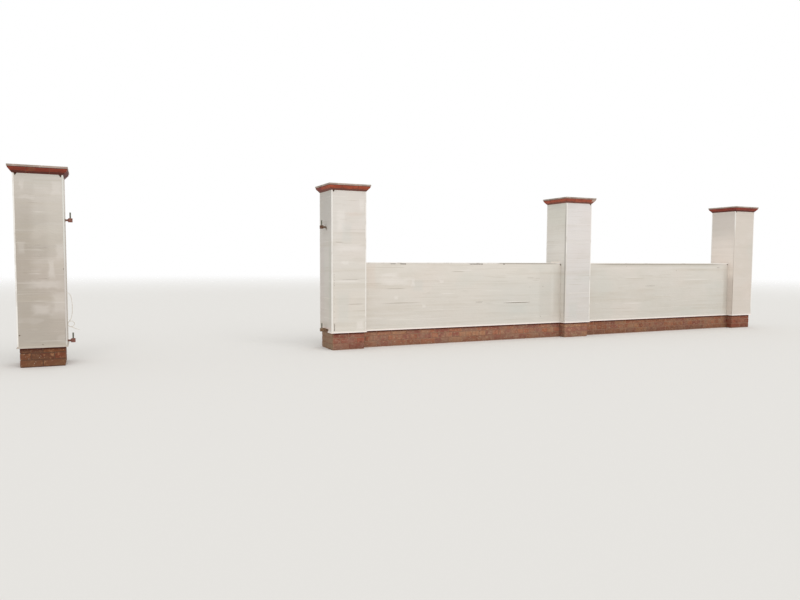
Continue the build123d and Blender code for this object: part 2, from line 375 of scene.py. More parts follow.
def mortar_body(name, low, high, finish):
    """The joints' mortar: a block a little inside the bricks' faces, and uneven."""
    x0, y0, z0 = low.x + joint_recess, low.y + joint_recess, low.z
    x1, y1, z1 = high.x - joint_recess, high.y - joint_recess, high.z
    along = stations(x0, x1, mortar_cell)[:-1]
    across = stations(y0, y1, mortar_cell)[:-1]
    outline = [(x, y0) for x in along] + [(x1, y) for y in across]
    outline += [(x0 + x1 - x, y1) for x in along] + [(x0, y0 + y1 - y) for y in across]
    plinth_top = min(mortar_shown, z1)
    levels = stations(z0, plinth_top, mortar_cell)[:-1] + [plinth_top, z1]

    def uneven(x, y, z):
        shift = mortar_stray * soft_noise(Vector((x, y, z)) * 40)
        return (x + shift, y - shift, z)

    bm = bmesh.new()
    loft(bm, [[uneven(x, y, z) for x, y in outline] for z in levels])
    return as_object(name, bm, finish)


def pier_bond(centre, low, high, turned):
    """Six bricks to a course round the pier, each course turned a quarter on the last."""
    across = (brick_length + joint) / 2
    out = (high.y - low.y - brick_width) / 2 - face_clearance
    quarter = math.pi / 2
    bricks = ((-across, -out, 0), (across, -out, 0), (-across, out, 0), (across, out, 0))
    bricks += ((-out, 0, quarter), (out, 0, quarter))
    places = []
    for number in range(math.ceil(high.z / course - least_course)):
        foot = number * course + joint
        tall = min(brick_height, high.z - foot)
        for x, y, turn in bricks:
            if (number + turned) % 2:
                x, y, turn = -y, x, turn + quarter
            places.append(((centre + x, y, foot + tall / 2), turn, (1, 1, tall / brick_height)))
    return places


def bay_bond(low, high):
    """English bond: a course of stretchers in two rows, then a course of headers."""
    out = (high.y - low.y - brick_width) / 2 - face_clearance
    places = []
    for number in range(round(high.z / course)):
        middle = number * course + joint + brick_height / 2
        header_course = number % 2 == 1
        full = brick_width if header_course else brick_length
        start = low.x + joint
        # A course of headers starts with half of one, so that the joints break
        wanted = full / 2 - joint / 2 if header_course else full
        while start < high.x - joint:
            width = min(wanted, high.x - start)
            spot = start + width / 2
            if header_course:
                places.append(((spot, 0, middle), math.pi / 2, (1, width / brick_width, 1)))
            else:
                for row in (-out, out):
                    places.append(((spot, row, middle), 0, (width / brick_length, 1, 1)))
            start += width + joint
            wanted = full
    return places


set_out_by_hand = set_out_tree()
brick = fired_brick()
mortar = mortar_finish("struck cement mortar", (136, 100, 80), (166, 132, 108), (136, 92, 72))
# The second mortar is a darker copy, painted shade for the left gate pier
dark_mortar = mortar_finish("struck mortar in the shade", (92, 62, 48), (114, 84, 64), (88, 56, 42))
# The bricks' firings, the tone of their haze and how dusty they are, as lit, and a darker
# copy that paints the shade over the left gate pier
daylit_firings = ((168, 106, 80), (154, 94, 70), (174, 122, 90), (148, 94, 78))
daylit_firings += ((162, 104, 78), (150, 90, 74), (168, 102, 74))
daylit_bricks = (daylit_firings, (168, 134, 108), 0.45)
shaded_firings = ((106, 58, 42), (92, 52, 40), (112, 68, 46), (90, 52, 42), (104, 62, 44))
shaded_bricks = (shaded_firings, (104, 76, 58), 0.1)
# How the bricks' colour differs from piece to piece
shades = {
    "left_gate_pier": (1.2, 1.13, 0.98),
    "right_gate_pier": (0.78, 0.71, 0.82),
    "middle_pier": (1.06, 1.18, 1.18),
    "end_pier": (0.68, 0.52, 0.52),
    "first_bay": (0.92, 0.93, 0.96),
    "second_bay": (0.76, 0.75, 0.73),
}
# Dried mud on the right gate pier's plinth towards the gateway, and a tan brick over it
plinth_stains = {
    "right_gate_pier": (
        ((146, 124, 98), 0.75, (-2.19, 0.0, 0.1), (0.012, 0.28, 0.16)),
        ((176, 152, 122), 0.7, (-2.19, 0.02, 0.262), (0.012, 0.13, 0.012)),
    ),
}
for number, name in enumerate(PIERS + BAYS):
    node = name + "_brickwork"
    low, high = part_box(node)
    in_shade = name == "left_gate_pier"
    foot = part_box(name + ("_bell_bead" if name in PIERS else "_bell_beads"))[0].z
    bricks = shaded_bricks if in_shade else daylit_bricks
    if name in PIERS:
        places = pier_bond((low.x + high.x) / 2, low, high, name in turned_bond)
    else:
        places = bay_bond(low, high)
    brickwork = set_out(
        name + "_bricks_and_mortar",
        places,
        piece=brick,
        body=mortar_body(name + "_mortar", low, high, dark_mortar if in_shade else mortar),
        tilt=brick_tilt,
        wear=brick_wear,
        wear_scale=brick_wear_scale,
        seed=number,
        finish=clay_finish(name + " fired clay", bricks, shades[name], foot, plinth_stains.get(name, ())),
    )
    settle(brickwork, "brick", node)
bpy.data.objects.remove(brick)

# Gate hooks. Forged steel hooks built into the gate piers' inner faces, two to a
# pier: a round arm out of the brickwork, a square knuckle in red primer or rust, and
# an upright pin that a gate's band hinge drops on to.
arm_radius = 0.011
knuckle_length = 0.046
knuckle_width = 0.034
knuckle_height = 0.044
knuckle_corner = 0.005
corner_cuts = 4
pin_radius = 0.008
hook_sides = 24
smooth_below = 35


def circle(radius, turn_to):
    """A ring of points round an axis, each placed by turn_to from its two sides."""
    angles = [2 * math.pi * step / hook_sides for step in range(hook_sides)]
    return [turn_to(radius * math.cos(angle), radius * math.sin(angle)) for angle in angles]


def rounded_ring(half_x, half_y, corner, centre_x, z):
    """A rectangle with round corners, as one ring at a height."""
    ring = []
    for quarter, (side_x, side_y) in enumerate(((1, 1), (-1, 1), (-1, -1), (1, -1))):
        for step in range(corner_cuts + 1):
            angle = math.radians(90 * (quarter + step / corner_cuts))
            x = side_x * (half_x - corner) + corner * math.cos(angle)
            y = side_y * (half_y - corner) + corner * math.sin(angle)
            ring.append((centre_x + x, y, z))
    return ring


def pitted_finish(name, body, worn, patches):
    """Steel or mortar blotched in three tones and lightly pitted."""
    steel = Finish(name, 0.62, 0.4)
    steel.ground(steel.mask(steel.cloud(90, 4), 0.42, 0.62), body, worn)
    steel.wash(steel.mask(steel.cloud(210, 3, shift=(1, 2, 3)), 0.58, 0.68, 0.85), patches)
    steel.relief(steel.cloud(500, 3), 0.0006)
    return steel.made()


def gate_hook(name, low, high, side, level, finishes):
    """A hook whose arm runs out from the brick face towards side, 1 or -1."""
    bm = bmesh.new()
    face = low.x if side > 0 else high.x
    pin_out = high.x - low.x - knuckle_length / 2
    top = high.z
    knuckle_top = low.z + knuckle_height
    axis = low.z + knuckle_height / 2
    reach = pin_out - knuckle_length / 2

    def arm_ring(out, radius):
        return circle(radius, lambda across, up: (face + side * out, across, axis + up))

    # The arm swells a little at the weld before the knuckle
    arm = ((0.0, 1.0), (0.35, 0.97), (0.7, 0.99), (0.88, 1.02), (0.95, 1.2), (1.0, 1.4), (1.04, 1.4))
    loft(bm, [arm_ring(reach * share, arm_radius * swell) for share, swell in arm], material=0)
    # Mortar squeezed out round the arm where it leaves the wall
    collar = ((0.004, 1.3), (0.0205, 1.5), (0.024, 1.42), (0.029, 1.18), (0.032, 1.02))
    if level == "upper":
        loft(bm, [arm_ring(out, arm_radius * swell) for out, swell in collar], material=2)
    half_x, half_y = knuckle_length / 2, knuckle_width / 2
    centre = face + side * pin_out
    # Heights in the knuckle, and how far its sides stand in there
    levels = ((0, 0.0022), (0.0022, 0.0), (0.018, 0.0004), (0.03, 0.0))
    levels += ((knuckle_height - 0.0025, 0.0), (knuckle_height, 0.0025))
    rings = [
        rounded_ring(half_x - inset, half_y - inset, knuckle_corner, centre, low.z + rise)
        for rise, inset in levels
    ]
    loft(bm, rings, material=0)
    # The pin flares at its weld and is rounded off at its head
    pin = ((knuckle_top - 0.001, 1.45), (knuckle_top + 0.0012, 1.4), (knuckle_top + 0.003, 1.08))
    pin += ((knuckle_top + 0.005, 1.0), (top - 0.03, 1.0), (top - 0.002, 1.0))
    pin += ((top - 0.0006, 0.86), (top, 0.72))
    rings = [
        circle(pin_radius * swell, lambda across, along: (centre + across, along, z)) for z, swell in pin
    ]
    loft(bm, rings, material=1)
    hook = as_object(name, bm, *finishes)
    hook.data.shade_smooth()
    hook.data.set_sharp_from_angle(angle=math.radians(smooth_below))
    return hook


primer = pitted_finish("red oxide primer", (126, 72, 60), (148, 104, 92), (96, 74, 62))
rust = pitted_finish("brown rust", (100, 70, 50), (136, 102, 86), (78, 60, 40))
caked_rust = pitted_finish("rust caked with mortar", (116, 88, 64), (152, 126, 98), (90, 66, 46))
collar_mortar = pitted_finish("mortar at the arm", (150, 134, 118), (128, 112, 96), (104, 86, 70))
bare_pin = pitted_finish("weathered bare pin", (92, 96, 80), (112, 112, 96), (104, 84, 64))
# Which way each pier's hooks point, and the coats of the lower one and the upper one
hook_coats = {"left_gate_pier": (1, primer, primer), "right_gate_pier": (-1, caked_rust, rust)}
for name, (side, *coats) in hook_coats.items():
    for level, coat in zip(("lower", "upper"), coats):
        node = f"{name}_{level}_hook"
        low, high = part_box(node)
        finishes = (coat, bare_pin, collar_mortar)
        hook = gate_hook(f"{name}_{level}_gate_hook", low, high, side, level, finishes)
        settle(hook, "hook_steel", node)

# Corner and top beads. White extruded plastic angle beads, bedded at every upright
# corner of the piers and along both top edges of the bays. The base coat is ruled
# off their noses, which leaves smears of it on the plastic.
bead_leg = 0.014
bead_web = 0.006
bead_step = 0.06
bead_stray = 0.0004
bead_smeared = 0.1
clean_plastic = (241, 237, 231)
filmed_plastic = (222, 216, 208)
# The bead's angle in section, as (out, along the face) from its corner
bead_section = ((0.0, 0.0012), (0.0004, 0.0004), (0.0012, 0.0), (bead_leg, 0.0))
bead_section += ((bead_leg, bead_web), (bead_web, bead_web), (bead_web, bead_leg), (0.0, bead_leg))
corners = ((-1, -1), (1, -1), (1, 1), (-1, 1))


def plastic_finish(name, clean, filmed, smeared, stains_and_shading=(), buried=None):
    """White plastic filmed and stained with cement, with painted shade where given, buried in it above a
    height.
    """
    plastic = Finish(name, 0.5, 0.4)
    smear = plastic.cloud(11, 4, stretch=(1, 1, 0.6))
    plastic.ground(plastic.mask(smear, 0.62 - smeared, 0.78 - smeared), clean, filmed)
    plastic.lay_stains_and_shading(stains_and_shading)
    grime = plastic.mask(plastic.cloud(45, 4, shift=(5, 0, 1)), 0.62, 0.75, 0.4)
    plastic.wash(grime, (182, 172, 158))
    if buried is not None:
        level, tone = buried
        ragged = plastic.reckon("ADD", plastic.along("Z"), plastic.reckon("MULTIPLY", smear, 0.004))
        plastic.wash(plastic.mask(ragged, level, level + 0.002), tone)
    plastic.relief(plastic.cloud(160, 3), 0.0007)
    return plastic.made()


def strayed(point, seed):
    """A point moved by a fraction of a millimetre, as a bead wanders from its line."""
    spot = Vector(point)
    stray_x = soft_noise(spot * 3 + Vector((seed, 0, 0)))
    stray_y = soft_noise(spot * 3 + Vector((0, seed, 0)))
    return spot + Vector((stray_x, stray_y, 0)) * bead_stray


# Where cement or dirt covers a front bead almost wholly, and painted shade on a bead's side along the
# middle and end piers' left faces
bead_stains_and_shade = {
    "left_gate_pier": (
        ((202, 195, 188), 0.85, (-5.29, -0.235, 0.7), (0.03, 0.03, 0.7)),
        ((216, 214, 206), 0.8, (-5.29, -0.235, 1.65), (0.03, 0.03, 0.6)),
    ),
    "middle_pier": (
        # Painted shade on the bead's side along the left face
        ((160, 154, 148), 0.6, (1.568, -0.22, 1.12), (0.009, 0.0208, 1.0)),
        ((213, 208, 199), 0.85, (1.585, -0.245, 0.72), (0.024, 0.007, 0.6)),
    ),
    "end_pier": (
        ((216, 206, 195), 0.9, (5.29, -0.235, 0.95), (0.03, 0.03, 0.95)),
        # Painted shade on the bead's side along the left face
        ((168, 154, 144), 0.4, (5.283, -0.232, 0.5), (0.003, 0.013, 0.5)),
    ),
}
# A dark line along the lower edge of the bays' front top beads
top_bead_dark_lines = (
    ((164, 155, 142), 0.85, (0.95, -0.129, 1.138), (0.64, 0.004, 0.009)),
    ((190, 182, 170), 0.7, (3.67, -0.129, 1.137), (1.64, 0.004, 0.006)),
)
for number, name in enumerate(PIERS):
    node = name + "_corner_beads"
    low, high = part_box(node)
    bm = bmesh.new()
    for side_x, side_y in corners:
        corner_x = low.x if side_x < 0 else high.x
        corner_y = low.y if side_y < 0 else high.y
        plan = [
            (corner_x - side_x * (a + bead_stray), corner_y - side_y * (b + bead_stray))
            for a, b in bead_section
        ]
        levels = stations(low.z, high.z, bead_step)
        loft(bm, [[strayed((x, y, z), number) for x, y in plan] for z in levels])
    stains_and_shading = bead_stains_and_shade.get(name, ())
    plastic = plastic_finish(name + " bead plastic", clean_plastic, filmed_plastic, bead_smeared, stains_and_shading)
    settle(as_object(name + "_angle_beads", bm, plastic), "bead", node)
plastic = plastic_finish("top bead plastic", clean_plastic, filmed_plastic, bead_smeared, top_bead_dark_lines)
for number, name in enumerate(BAYS):
    node = name + "_top_beads"
    low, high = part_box(node)
    bm = bmesh.new()
    for side, corner_y in ((-1, low.y), (1, high.y)):
        rings = []
        for x in stations(low.x, high.x, bead_step):
            drop = bead_stray * soft_noise(Vector((x * 3, side, number)))
            ring = [
                (x, corner_y - side * (a + bead_stray) + drop, high.z - b - bead_stray - abs(drop))
                for a, b in bead_section
            ]
            rings.append(ring)
        loft(bm, rings)
    settle(as_object(name + "_top_angle_beads", bm, plastic), "bead", node)

# Bell-cast beads. A white plastic bead round the foot of the render that throws the
# rain clear of the brick plinth, mitred at the corners. On the right gate pier it is
# broken away under the lower hook.
bell_lip = 0.004
bell_step = 0.045
pier_bell_wave = 0.0005
bay_bell_wave = 0.0006
# How far cutters reach past the bead up and down, and past the pier into a bay
past_bell = 0.02
past_pier = 0.06
# The two ends of the right gate pier's broken patch, along its gateway face
patch_front = -0.105
patch_back = 0.205
# How a break is cut: its depths, the step along its edge, how far that edge strays, and
# how much the break narrows inwards
bell_break = ((-0.03, 0.0, 0.03), 0.006, 0.0012, 0.15)
# Which sides of a pier, along X, a bay meets
bay_sides = {"right_gate_pier": (1,), "middle_pier": (-1, 1), "end_pier": (-1,)}


def turned(x, y, side):
    """A place in plan, turned about the pier's middle on to one of its four sides."""
    angle = math.pi / 2 * side
    return x * math.cos(angle) - y * math.sin(angle), x * math.sin(angle) + y * math.cos(angle)


def bell_section(reach, coat, rise):
    """The bell's section as (out from the brickwork, height above the plinth)."""
    return (
        (0.0, 0.0006),
        (reach - 0.0035, 0.0002),
        (reach - 0.0008, 0.0),
        (reach, 0.0012),
        (reach - 0.0003, bell_lip - 0.0005),
        (reach - 0.0022, bell_lip + 0.0015),
        (reach - (reach - coat) * 0.55, rise * 0.6),
        (coat + 0.0004, rise),
        (0.0, rise),
    )


def jagged(points, step, rough, seed):
    """A closed outline cut into short steps that stray, as a broken edge does."""
    rng = random.Random(seed)
    outline = []
    for (u0, v0), (u1, v1) in zip(points, points[1:] + points[:1]):
        count = max(1, round(math.hypot(u1 - u0, v1 - v0) / step))
        for number in range(count):
            share = number / count
            u = u0 + (u1 - u0) * share + rng.uniform(-rough, rough)
            v = v0 + (v1 - v0) * share + rng.uniform(-rough, rough)
            outline.append((u, v))
    return outline


def broken_hole(bm, points, on_face, seed, depths, step, rough, slope):
    """A jagged cutter through a face that narrows inwards, as broken render does."""
    outline = jagged(points, step, rough, seed)
    centre_u = sum(u for u, v in outline) / len(outline)
    centre_v = sum(v for u, v in outline) / len(outline)
    rng = random.Random(seed + 1)
    rings = []
    for depth in depths:
        share = 1 - slope * (depth - depths[0]) / (depths[-1] - depths[0])
        ring = []
        for u, v in outline:
            stray = rng.uniform(-rough, rough) * 0.5
            u = centre_u + (u - centre_u) * share + stray
            ring.append(on_face(u, centre_v + (v - centre_v) * share, depth))
        rings.append(ring)
    loft(bm, rings, material=1)


def cut_away(thing, bm):
    """Takes the cutters out of a piece. Their sides become its second material."""
    bmesh.ops.recalc_face_normals(bm, faces=bm.faces)
    cutter = as_object(thing.name + "_cutter", bm)
    modifier = thing.modifiers.new("broken", "BOOLEAN")
    modifier.operation = "DIFFERENCE"
    modifier.solver = "EXACT"
    modifier.use_self = True
    modifier.object = cutter
    result = baked(thing.name, thing)
    bpy.data.objects.remove(cutter)
    return result


def box_rings(x0, x1, y0, y1, z0, z1):
    """The lower and the upper outline of an upright box."""
    return [[(x0, y0, z), (x1, y0, z), (x1, y1, z), (x0, y1, z)] for z in (z0, z1)]


def broken_finish():
    """The grey-brown inside of the base coat, where it has broken."""
    inside = Finish("broken base coat", 0.97, 0.15)
    grit = inside.cloud(220, 4)
    inside.ground(inside.mask(grit, 0.35, 0.65), (122, 104, 86), (166, 148, 128))
    inside.relief(grit, 0.002)
    return inside.made()


broken_coat = broken_finish()
bay_low, bay_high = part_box("first_bay_bell_beads")
bell_plastic = plastic_finish(
    "bell bead plastic",
    (254, 242, 236),
    (244, 230, 222),
    0.06,
    buried=(bay_low.z + bell_lip + 0.004, (224, 216, 207)),
)
# The left gate pier's bell is caked all over
caked_bell_plastic = plastic_finish(
    "caked bell bead plastic",
    (206, 190, 178),
    (184, 168, 154),
    0.2,
    buried=(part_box("left_gate_pier_bell_bead")[0].z + bell_lip, (182, 172, 159)),
)
for name in PIERS:
    node = name + "_bell_bead"
    low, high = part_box(node)
    core_low, core_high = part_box(name + "_brickwork")
    centre = (core_low.x + core_high.x) / 2
    half = (core_high.x - core_low.x) / 2
    rise = high.z - low.z
    section = bell_section(high.y - half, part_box(name + "_render")[1].y - half, rise)
    steps = round(2 * half / bell_step)
    rings = []
    for side in range(4):
        for number in range(steps):
            share = 2 * number / steps - 1
            ring = []
            for out, up in section:
                x, y = share * (half + out), -(half + out)
                wave = pier_bell_wave * soft_noise(Vector((x * 12, side * 3.1, 0.5)))
                x, y = turned(x, y, side)
                ring.append((centre + x, y, low.z + up + (wave if 0 < up < rise else 0)))
            rings.append(ring)
    bm = bmesh.new()
    loft(bm, rings, loop=True)
    finish = caked_bell_plastic if name == "left_gate_pier" else bell_plastic
    bead = as_object(name + "_bell_cast_bead", bm, finish, broken_coat)
    cutter = bmesh.new()
    # The bead stops where a bay meets the pier
    for side in bay_sides.get(name, ()):
        ends = sorted((centre + side * half * 0.5, centre + side * (half + past_pier)))
        loft(cutter, box_rings(*ends, bay_low.y, bay_high.y, low.z - past_bell, high.z + past_bell))
    if name == "right_gate_pier":
        patch = [(patch_front, -past_bell), (patch_back, -past_bell)]
        patch += [(patch_back, past_bell + rise), (patch_front - 0.006, past_bell + rise)]
        broken_hole(
            cutter,
            patch,
            lambda u, v, depth: (centre - half - 0.015 + depth, u, low.z + v),
            31,
            *bell_break,
        )
    if cutter.faces:
        bead = cut_away(bead, cutter)
    else:
        cutter.free()
    settle(bead, "bead", node)
for name in BAYS:
    node = name + "_bell_beads"
    low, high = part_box(node)
    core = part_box(name + "_brickwork")[1].y
    rise = high.z - low.z
    section = bell_section(high.y - core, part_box(name + "_render")[1].y - core, rise)
    bm = bmesh.new()
    for side in (-1, 1):
        rings = []
        for x in stations(low.x, high.x, bell_step):
            wave = bay_bell_wave * soft_noise(Vector((x * 9, side * 2.3, 0.5)))
            ring = [
                (x, side * (core + out), low.z + up + (wave if 0 < up < rise else 0))
                for out, up in section
            ]
            rings.append(ring)
        loft(bm, rings)
    settle(as_object(name + "_bell_cast_beads", bm, bell_plastic), "bead", node)

# Base coat of render. One coat of cement render, floated by hand between the beads,
# 20 mm thick. It dried in uneven patches, shows the laps and pits of the float, and
# has broken away in a few places down to the bricks.
coat_cell = 0.02
coat_wave = 0.0011
edge_fade = 0.03
pier_core_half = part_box("end_pier_brickwork")[1].y
lap_rise = 0.016
lap_proud = 0.0026
lap_bed = 0.0008
lap_lengths = (0.05, 0.2)
lap_tilt = 0.03
lap_wear = 0.0006
lap_wear_scale = 60.0
# How many laps there are to the square metre, and the part of a face that they keep to
pier_laps = 16
bay_laps = 14
pier_lap_reach = 0.2
lowest_pier_lap = 0.45
pier_lap_headroom = 0.1
bay_lap_margin = 0.05
# Smears with less than this half height keep straight edges
thin_smear = 0.02
# Each kind of smear and of painted shading: its tone and how strongly it covers; 'shade' is painted shade
# and 'light' painted light
smear_and_shading_kinds = {
    "pale": ((236, 230, 224), 0.45),
    "cool": ((204, 206, 200), 0.3),
    "warm": ((222, 200, 186), 0.2),
    "dull": ((172, 162, 148), 0.24),
    "dark": ((150, 138, 122), 0.5),
    "shade": ((160, 149, 134), 0.44),
    "light": ((228, 222, 212), 0.28),
}


def base_coat_finish(name, look, faces, front, smears_and_shading, stains_and_shading):
    """Floated cement: drying patches, sideways float streaks, sand, known smears and stains, and painted
    light and shade.
    """
    head_tone, foot_tone, levels, smear_and_shading_share, marks = look
    coat = Finish(name, 0.93, 0.2)
    height = coat.along("Z")
    coat.ground(coat.mask(height, *levels), head_tone, foot_tone)
    # Painted light and shade: a face at a known X is made lighter or darker than the front, more so down
    # the pier
    for spot, away, head, foot in faces:
        here = coat.mask(coat.along("X"), spot - 0.008 * away, spot - 0.004 * away)
        factor = coat.blend(coat.mask(height, 1.85, 1.3), (*head, 1.0), (*foot, 1.0))
        coat.colour = coat.blend(here, coat.colour, coat.blend(1.0, coat.colour, factor, "MULTIPLY"))
    slow = coat.cloud(1.1, 2, stretch=(1, 1, 1.4))
    patch = coat.cloud(3.4, 2, stretch=(0.6, 0.6, 1.6), shift=(4, 9, 2))
    band = coat.cloud(2.2, 4, stretch=(0.25, 0.25, 6), shift=(2, 2, 5))
    streak = coat.cloud(3.0, 3, stretch=(0.4, 0.4, 14), shift=(8, 1, 3))
    line = coat.cloud(3.0, 2, stretch=(0.3, 0.3, 26), shift=(5, 7, 1))
    for pattern, start, full, most, tone in (
        (slow, 0.5, 0.68, 0.18, (226, 210, 200)),
        (slow, 0.46, 0.3, 0.28, (204, 206, 198)),
        (patch, 0.55, 0.62, 0.12, (229, 222, 216)),
        (patch, 0.42, 0.34, 0.1, (196, 190, 176)),
        (band, 0.52, 0.66, 0.22 * marks, (198, 188, 172)),
        (streak, 0.64, 0.69, 0.32 * marks, (188, 178, 162)),
        (streak, 0.34, 0.3, 0.35 * marks, (236, 231, 223)),
        (line, 0.62, 0.66, 0.2 * marks, (192, 183, 168)),
        (line, 0.36, 0.32, 0.22 * marks, (236, 231, 223)),
    ):
        coat.wash(coat.mask(pattern, start, full, most), tone)
    # The smears' edges wander by a centimetre or two
    wandering = {"Vector": coat.place, "Scale": 14.0, "Detail": 3.0}
    drift = put(coat.tree, "ShaderNodeTexNoise", wandering).outputs["Color"]
    drift = vectors(coat.tree, "SCALE", vectors(coat.tree, "SUBTRACT", drift, (0.5, 0.5, 0.5)), 0.05)
    wide_spot = vectors(coat.tree, "ADD", coat.place, drift)
    for kind, x, z, half_x, half_z in smears_and_shading:
        tone, strength = smear_and_shading_kinds[kind]
        spot = coat.place if half_z < thin_smear else wide_spot
        amount = coat.inside_box(spot, (x, front, z), (half_x * 1.25, 0.05, half_z * 1.25), 0.7)
        coat.wash(coat.reckon("MULTIPLY", amount, strength * smear_and_shading_share), tone)
    coat.lay_stains_and_shading(stains_and_shading)
    coat.wash(coat.mask(coat.cloud(120, 2, shift=(1, 1, 1)), 0.7, 0.78, 0.4), (178, 166, 150))
    coat.relief(streak, 0.0012)
    coat.relief(coat.cloud(30, 3, stretch=(0.5, 0.5, 2.0)), 0.0016)
    coat.relief(coat.cloud(380, 2), 0.0005)
    return coat.made()


def float_lap():
    """A lap left by the float: a feathered sliver, proud along its lower edge."""
    rings = []
    for number in range(11):
        along = number / 5 - 1
        swell = max(0.02, 1 - along * along)
        low_edge = -0.1 * swell + 0.05 * math.sin(5 * along)
        ring = [(0.6, low_edge + swell), (-0.42 * swell, low_edge + 0.45 * swell)]
        ring += [(-swell, low_edge + 0.06), (-0.6 * swell, low_edge), (0.6, low_edge)]
        rings.append([(along / 2, y, z) for y, z in ring])
    bm = bmesh.new()
    loft(bm, rings)
    return as_object("float_lap", bm)


def wall_wave(point):
    """How far the float left the coat short of its full thickness."""
    spot = Vector(point)
    slow = soft_noise(spot * 2.1) + 0.5 * soft_noise(spot * 6.0)
    return coat_wave * (slow - 0.7)


def faded(*edges):
    """1 out on a face, down to 0 at the nearest of its edges."""
    return max(0, min(1, min(edges) / edge_fade))


def pier_skin(name, low, high, bead_high, finishes):
    """The coat round a pier, notched at each corner for its bead."""
    centre = (low.x + high.x) / 2
    half = (high.x - low.x) / 2
    inner = pier_core_half
    notch = bead_high.y - bead_leg
    web = bead_high.y - bead_web
    side_points = [(u, half, 1) for u in stations(-notch, notch, coat_cell)]
    side_points += [(notch, web, 0), (web, web, 0), (web, notch, 0)]

    def ring(z, on_bricks):
        points = []
        for side in range(4):
            for u, out, free in side_points:
                fade = free * faded(notch - abs(u), z - low.z, high.z - z)
                v = -(out + wall_wave((centre + u + 5 * side, out, z)) * fade)
                if on_bricks:
                    u, v = max(-inner, min(inner, u)), -inner
                x, y = turned(u, v, side)
                points.append((centre + x, y, z))
        return points

    levels = stations(low.z, high.z, coat_cell)
    rings = [ring(low.z, True)] + [ring(z, False) for z in levels] + [ring(high.z, True)]
    bm = bmesh.new()
    loft(bm, rings, loop=True)
    return as_object(name, bm, *finishes)


def bay_skin(name, low, high, bead_high, core_high, finishes):
    """The coat over a bay's front, top and back, notched for the top beads."""
    face, top = high.y, high.z
    ledge = bead_high.z - bead_leg
    shelf = bead_high.y - bead_leg
    web_y, web_z = bead_high.y - bead_web, bead_high.z - bead_web
    ups = stations(low.z, ledge, coat_cell)
    overs = stations(-shelf, shelf, coat_cell)
    # Each place's Y, its Z and the side that it is free to wave on: front 1, top 2, back 3
    section = [(-face, z, 1) for z in ups] + [(-web_y, ledge, 0), (-web_y, web_z, 0), (-shelf, web_z, 0)]
    section += [(y, top, 2) for y in overs] + [(shelf, web_z, 0), (web_y, web_z, 0), (web_y, ledge, 0)]
    section += [(face, z, 3) for z in reversed(ups)]
    section += [(core_high.y, low.z, 0), (core_high.y, core_high.z, 0)]
    section += [(-core_high.y, core_high.z, 0), (-core_high.y, low.z, 0)]
    rings = []
    for x in stations(low.x, high.x, coat_cell):
        ring = []
        from_end = min(x - low.x, high.x - x)
        for y, z, side in section:
            if side == 2:
                z += wall_wave((x, 2 * side, y)) * faded(from_end, shelf - abs(y))
            elif side:
                wave = wall_wave((x, 2 * side, z)) * faded(from_end, z - low.z, ledge - z)
                y += wave if side == 3 else -wave
            ring.append((x, y, z))
        rings.append(ring)
    bm = bmesh.new()
    loft(bm, rings)
    return as_object(name, bm, *finishes)


def oval(centre_u, centre_v, half_u, half_v, count):
    """An oval outline, in a number of points."""
    angles = [2 * math.pi / count * step for step in range(count)]
    return [(centre_u + half_u * math.cos(a), centre_v + half_v * math.sin(a)) for a in angles]


def crescent(centre_u, centre_v, radius, bite_radius, shift, turn):
    """The outline between two arcs that nearly meet at two points."""
    outer_steps, inner_steps = 24, 20
    reach = (radius**2 + shift**2 - bite_radius**2) / (2 * radius * shift)
    spread = 0.94 * (math.pi - math.acos(reach))
    outer = [turn - spread + 2 * spread * step / outer_steps for step in range(outer_steps + 1)]
    bite_u = -shift * math.cos(turn)
    bite_v = -shift * math.sin(turn)
    points = [(radius * math.cos(angle), radius * math.sin(angle)) for angle in outer]
    tip = points[-1]
    wide = abs((math.atan2(tip[1] - bite_v, tip[0] - bite_u) - turn + math.pi) % (2 * math.pi) - math.pi)
    inner = [turn + wide - 2 * wide * step / inner_steps for step in range(1, inner_steps)]
    points += [(bite_u + bite_radius * math.cos(a), bite_v + bite_radius * math.sin(a)) for a in inner]
    return [(centre_u + u, centre_v + v) for u, v in points]


def face_of(centre, half, side):
    """Turns a place on a face, and a depth into it, into a point of the wall."""
    return {
        "front": lambda u, v, depth: (centre + u, -half + depth, v),
        "back": lambda u, v, depth: (centre + u, half - depth, v),
        "left": lambda u, v, depth: (centre - half + depth, u, v),
        "right": lambda u, v, depth: (centre + half - depth, u, v),
    }[side]


wedge_inset = 0.014
wedge_width = 0.034
wedge_drop = 0.028
hook_hole = 0.0145
# How each kind of break in the coat is cut, as the bell's is
through = (-0.006, 0.0, 0.007, 0.014, 0.0213)
wedge_break = (through, 0.005, 0.001, 0.1)
slot_break = (through, 0.009, 0.0007, 0.05)
patch_break = (through, 0.007, 0.0018, 0.03)
curve_break = (through, 0.006, 0.0009, 0.0)
hook_break = (through, 0.02, 0.0012, 0.12)
pit_break = ((-0.006, 0.0, 0.004, 0.007), 0.01, 0.0008, 0.55)
chip_break = ((-0.006, 0.0, 0.006, 0.012), 0.007, 0.0011, 0.15)
crack_break = ((-0.006, 0.0, 0.005, 0.010), 0.012, 0.0006, 0.1)
groove_depths = (-0.006, 0.0, 0.003, 0.006)
# Broken wedges beside the corner beads, under the caps: the face and the side of it
wedges = {
    "left_gate_pier": (("front", -1), ("front", 1)),
    "right_gate_pier": (("front", -1),),
    "middle_pier": (("front", 1), ("back", -1)),
    "end_pier": (("front", -1),),
}
# Slots where the coat has come off a bead's edge: the place, foot, top and width
slots = {
    "left_gate_pier": ((0.227, 0.275, 0.42, 0.0035),),
    "right_gate_pier": ((-0.2015, 0.253, 0.353, 0.007),),
}
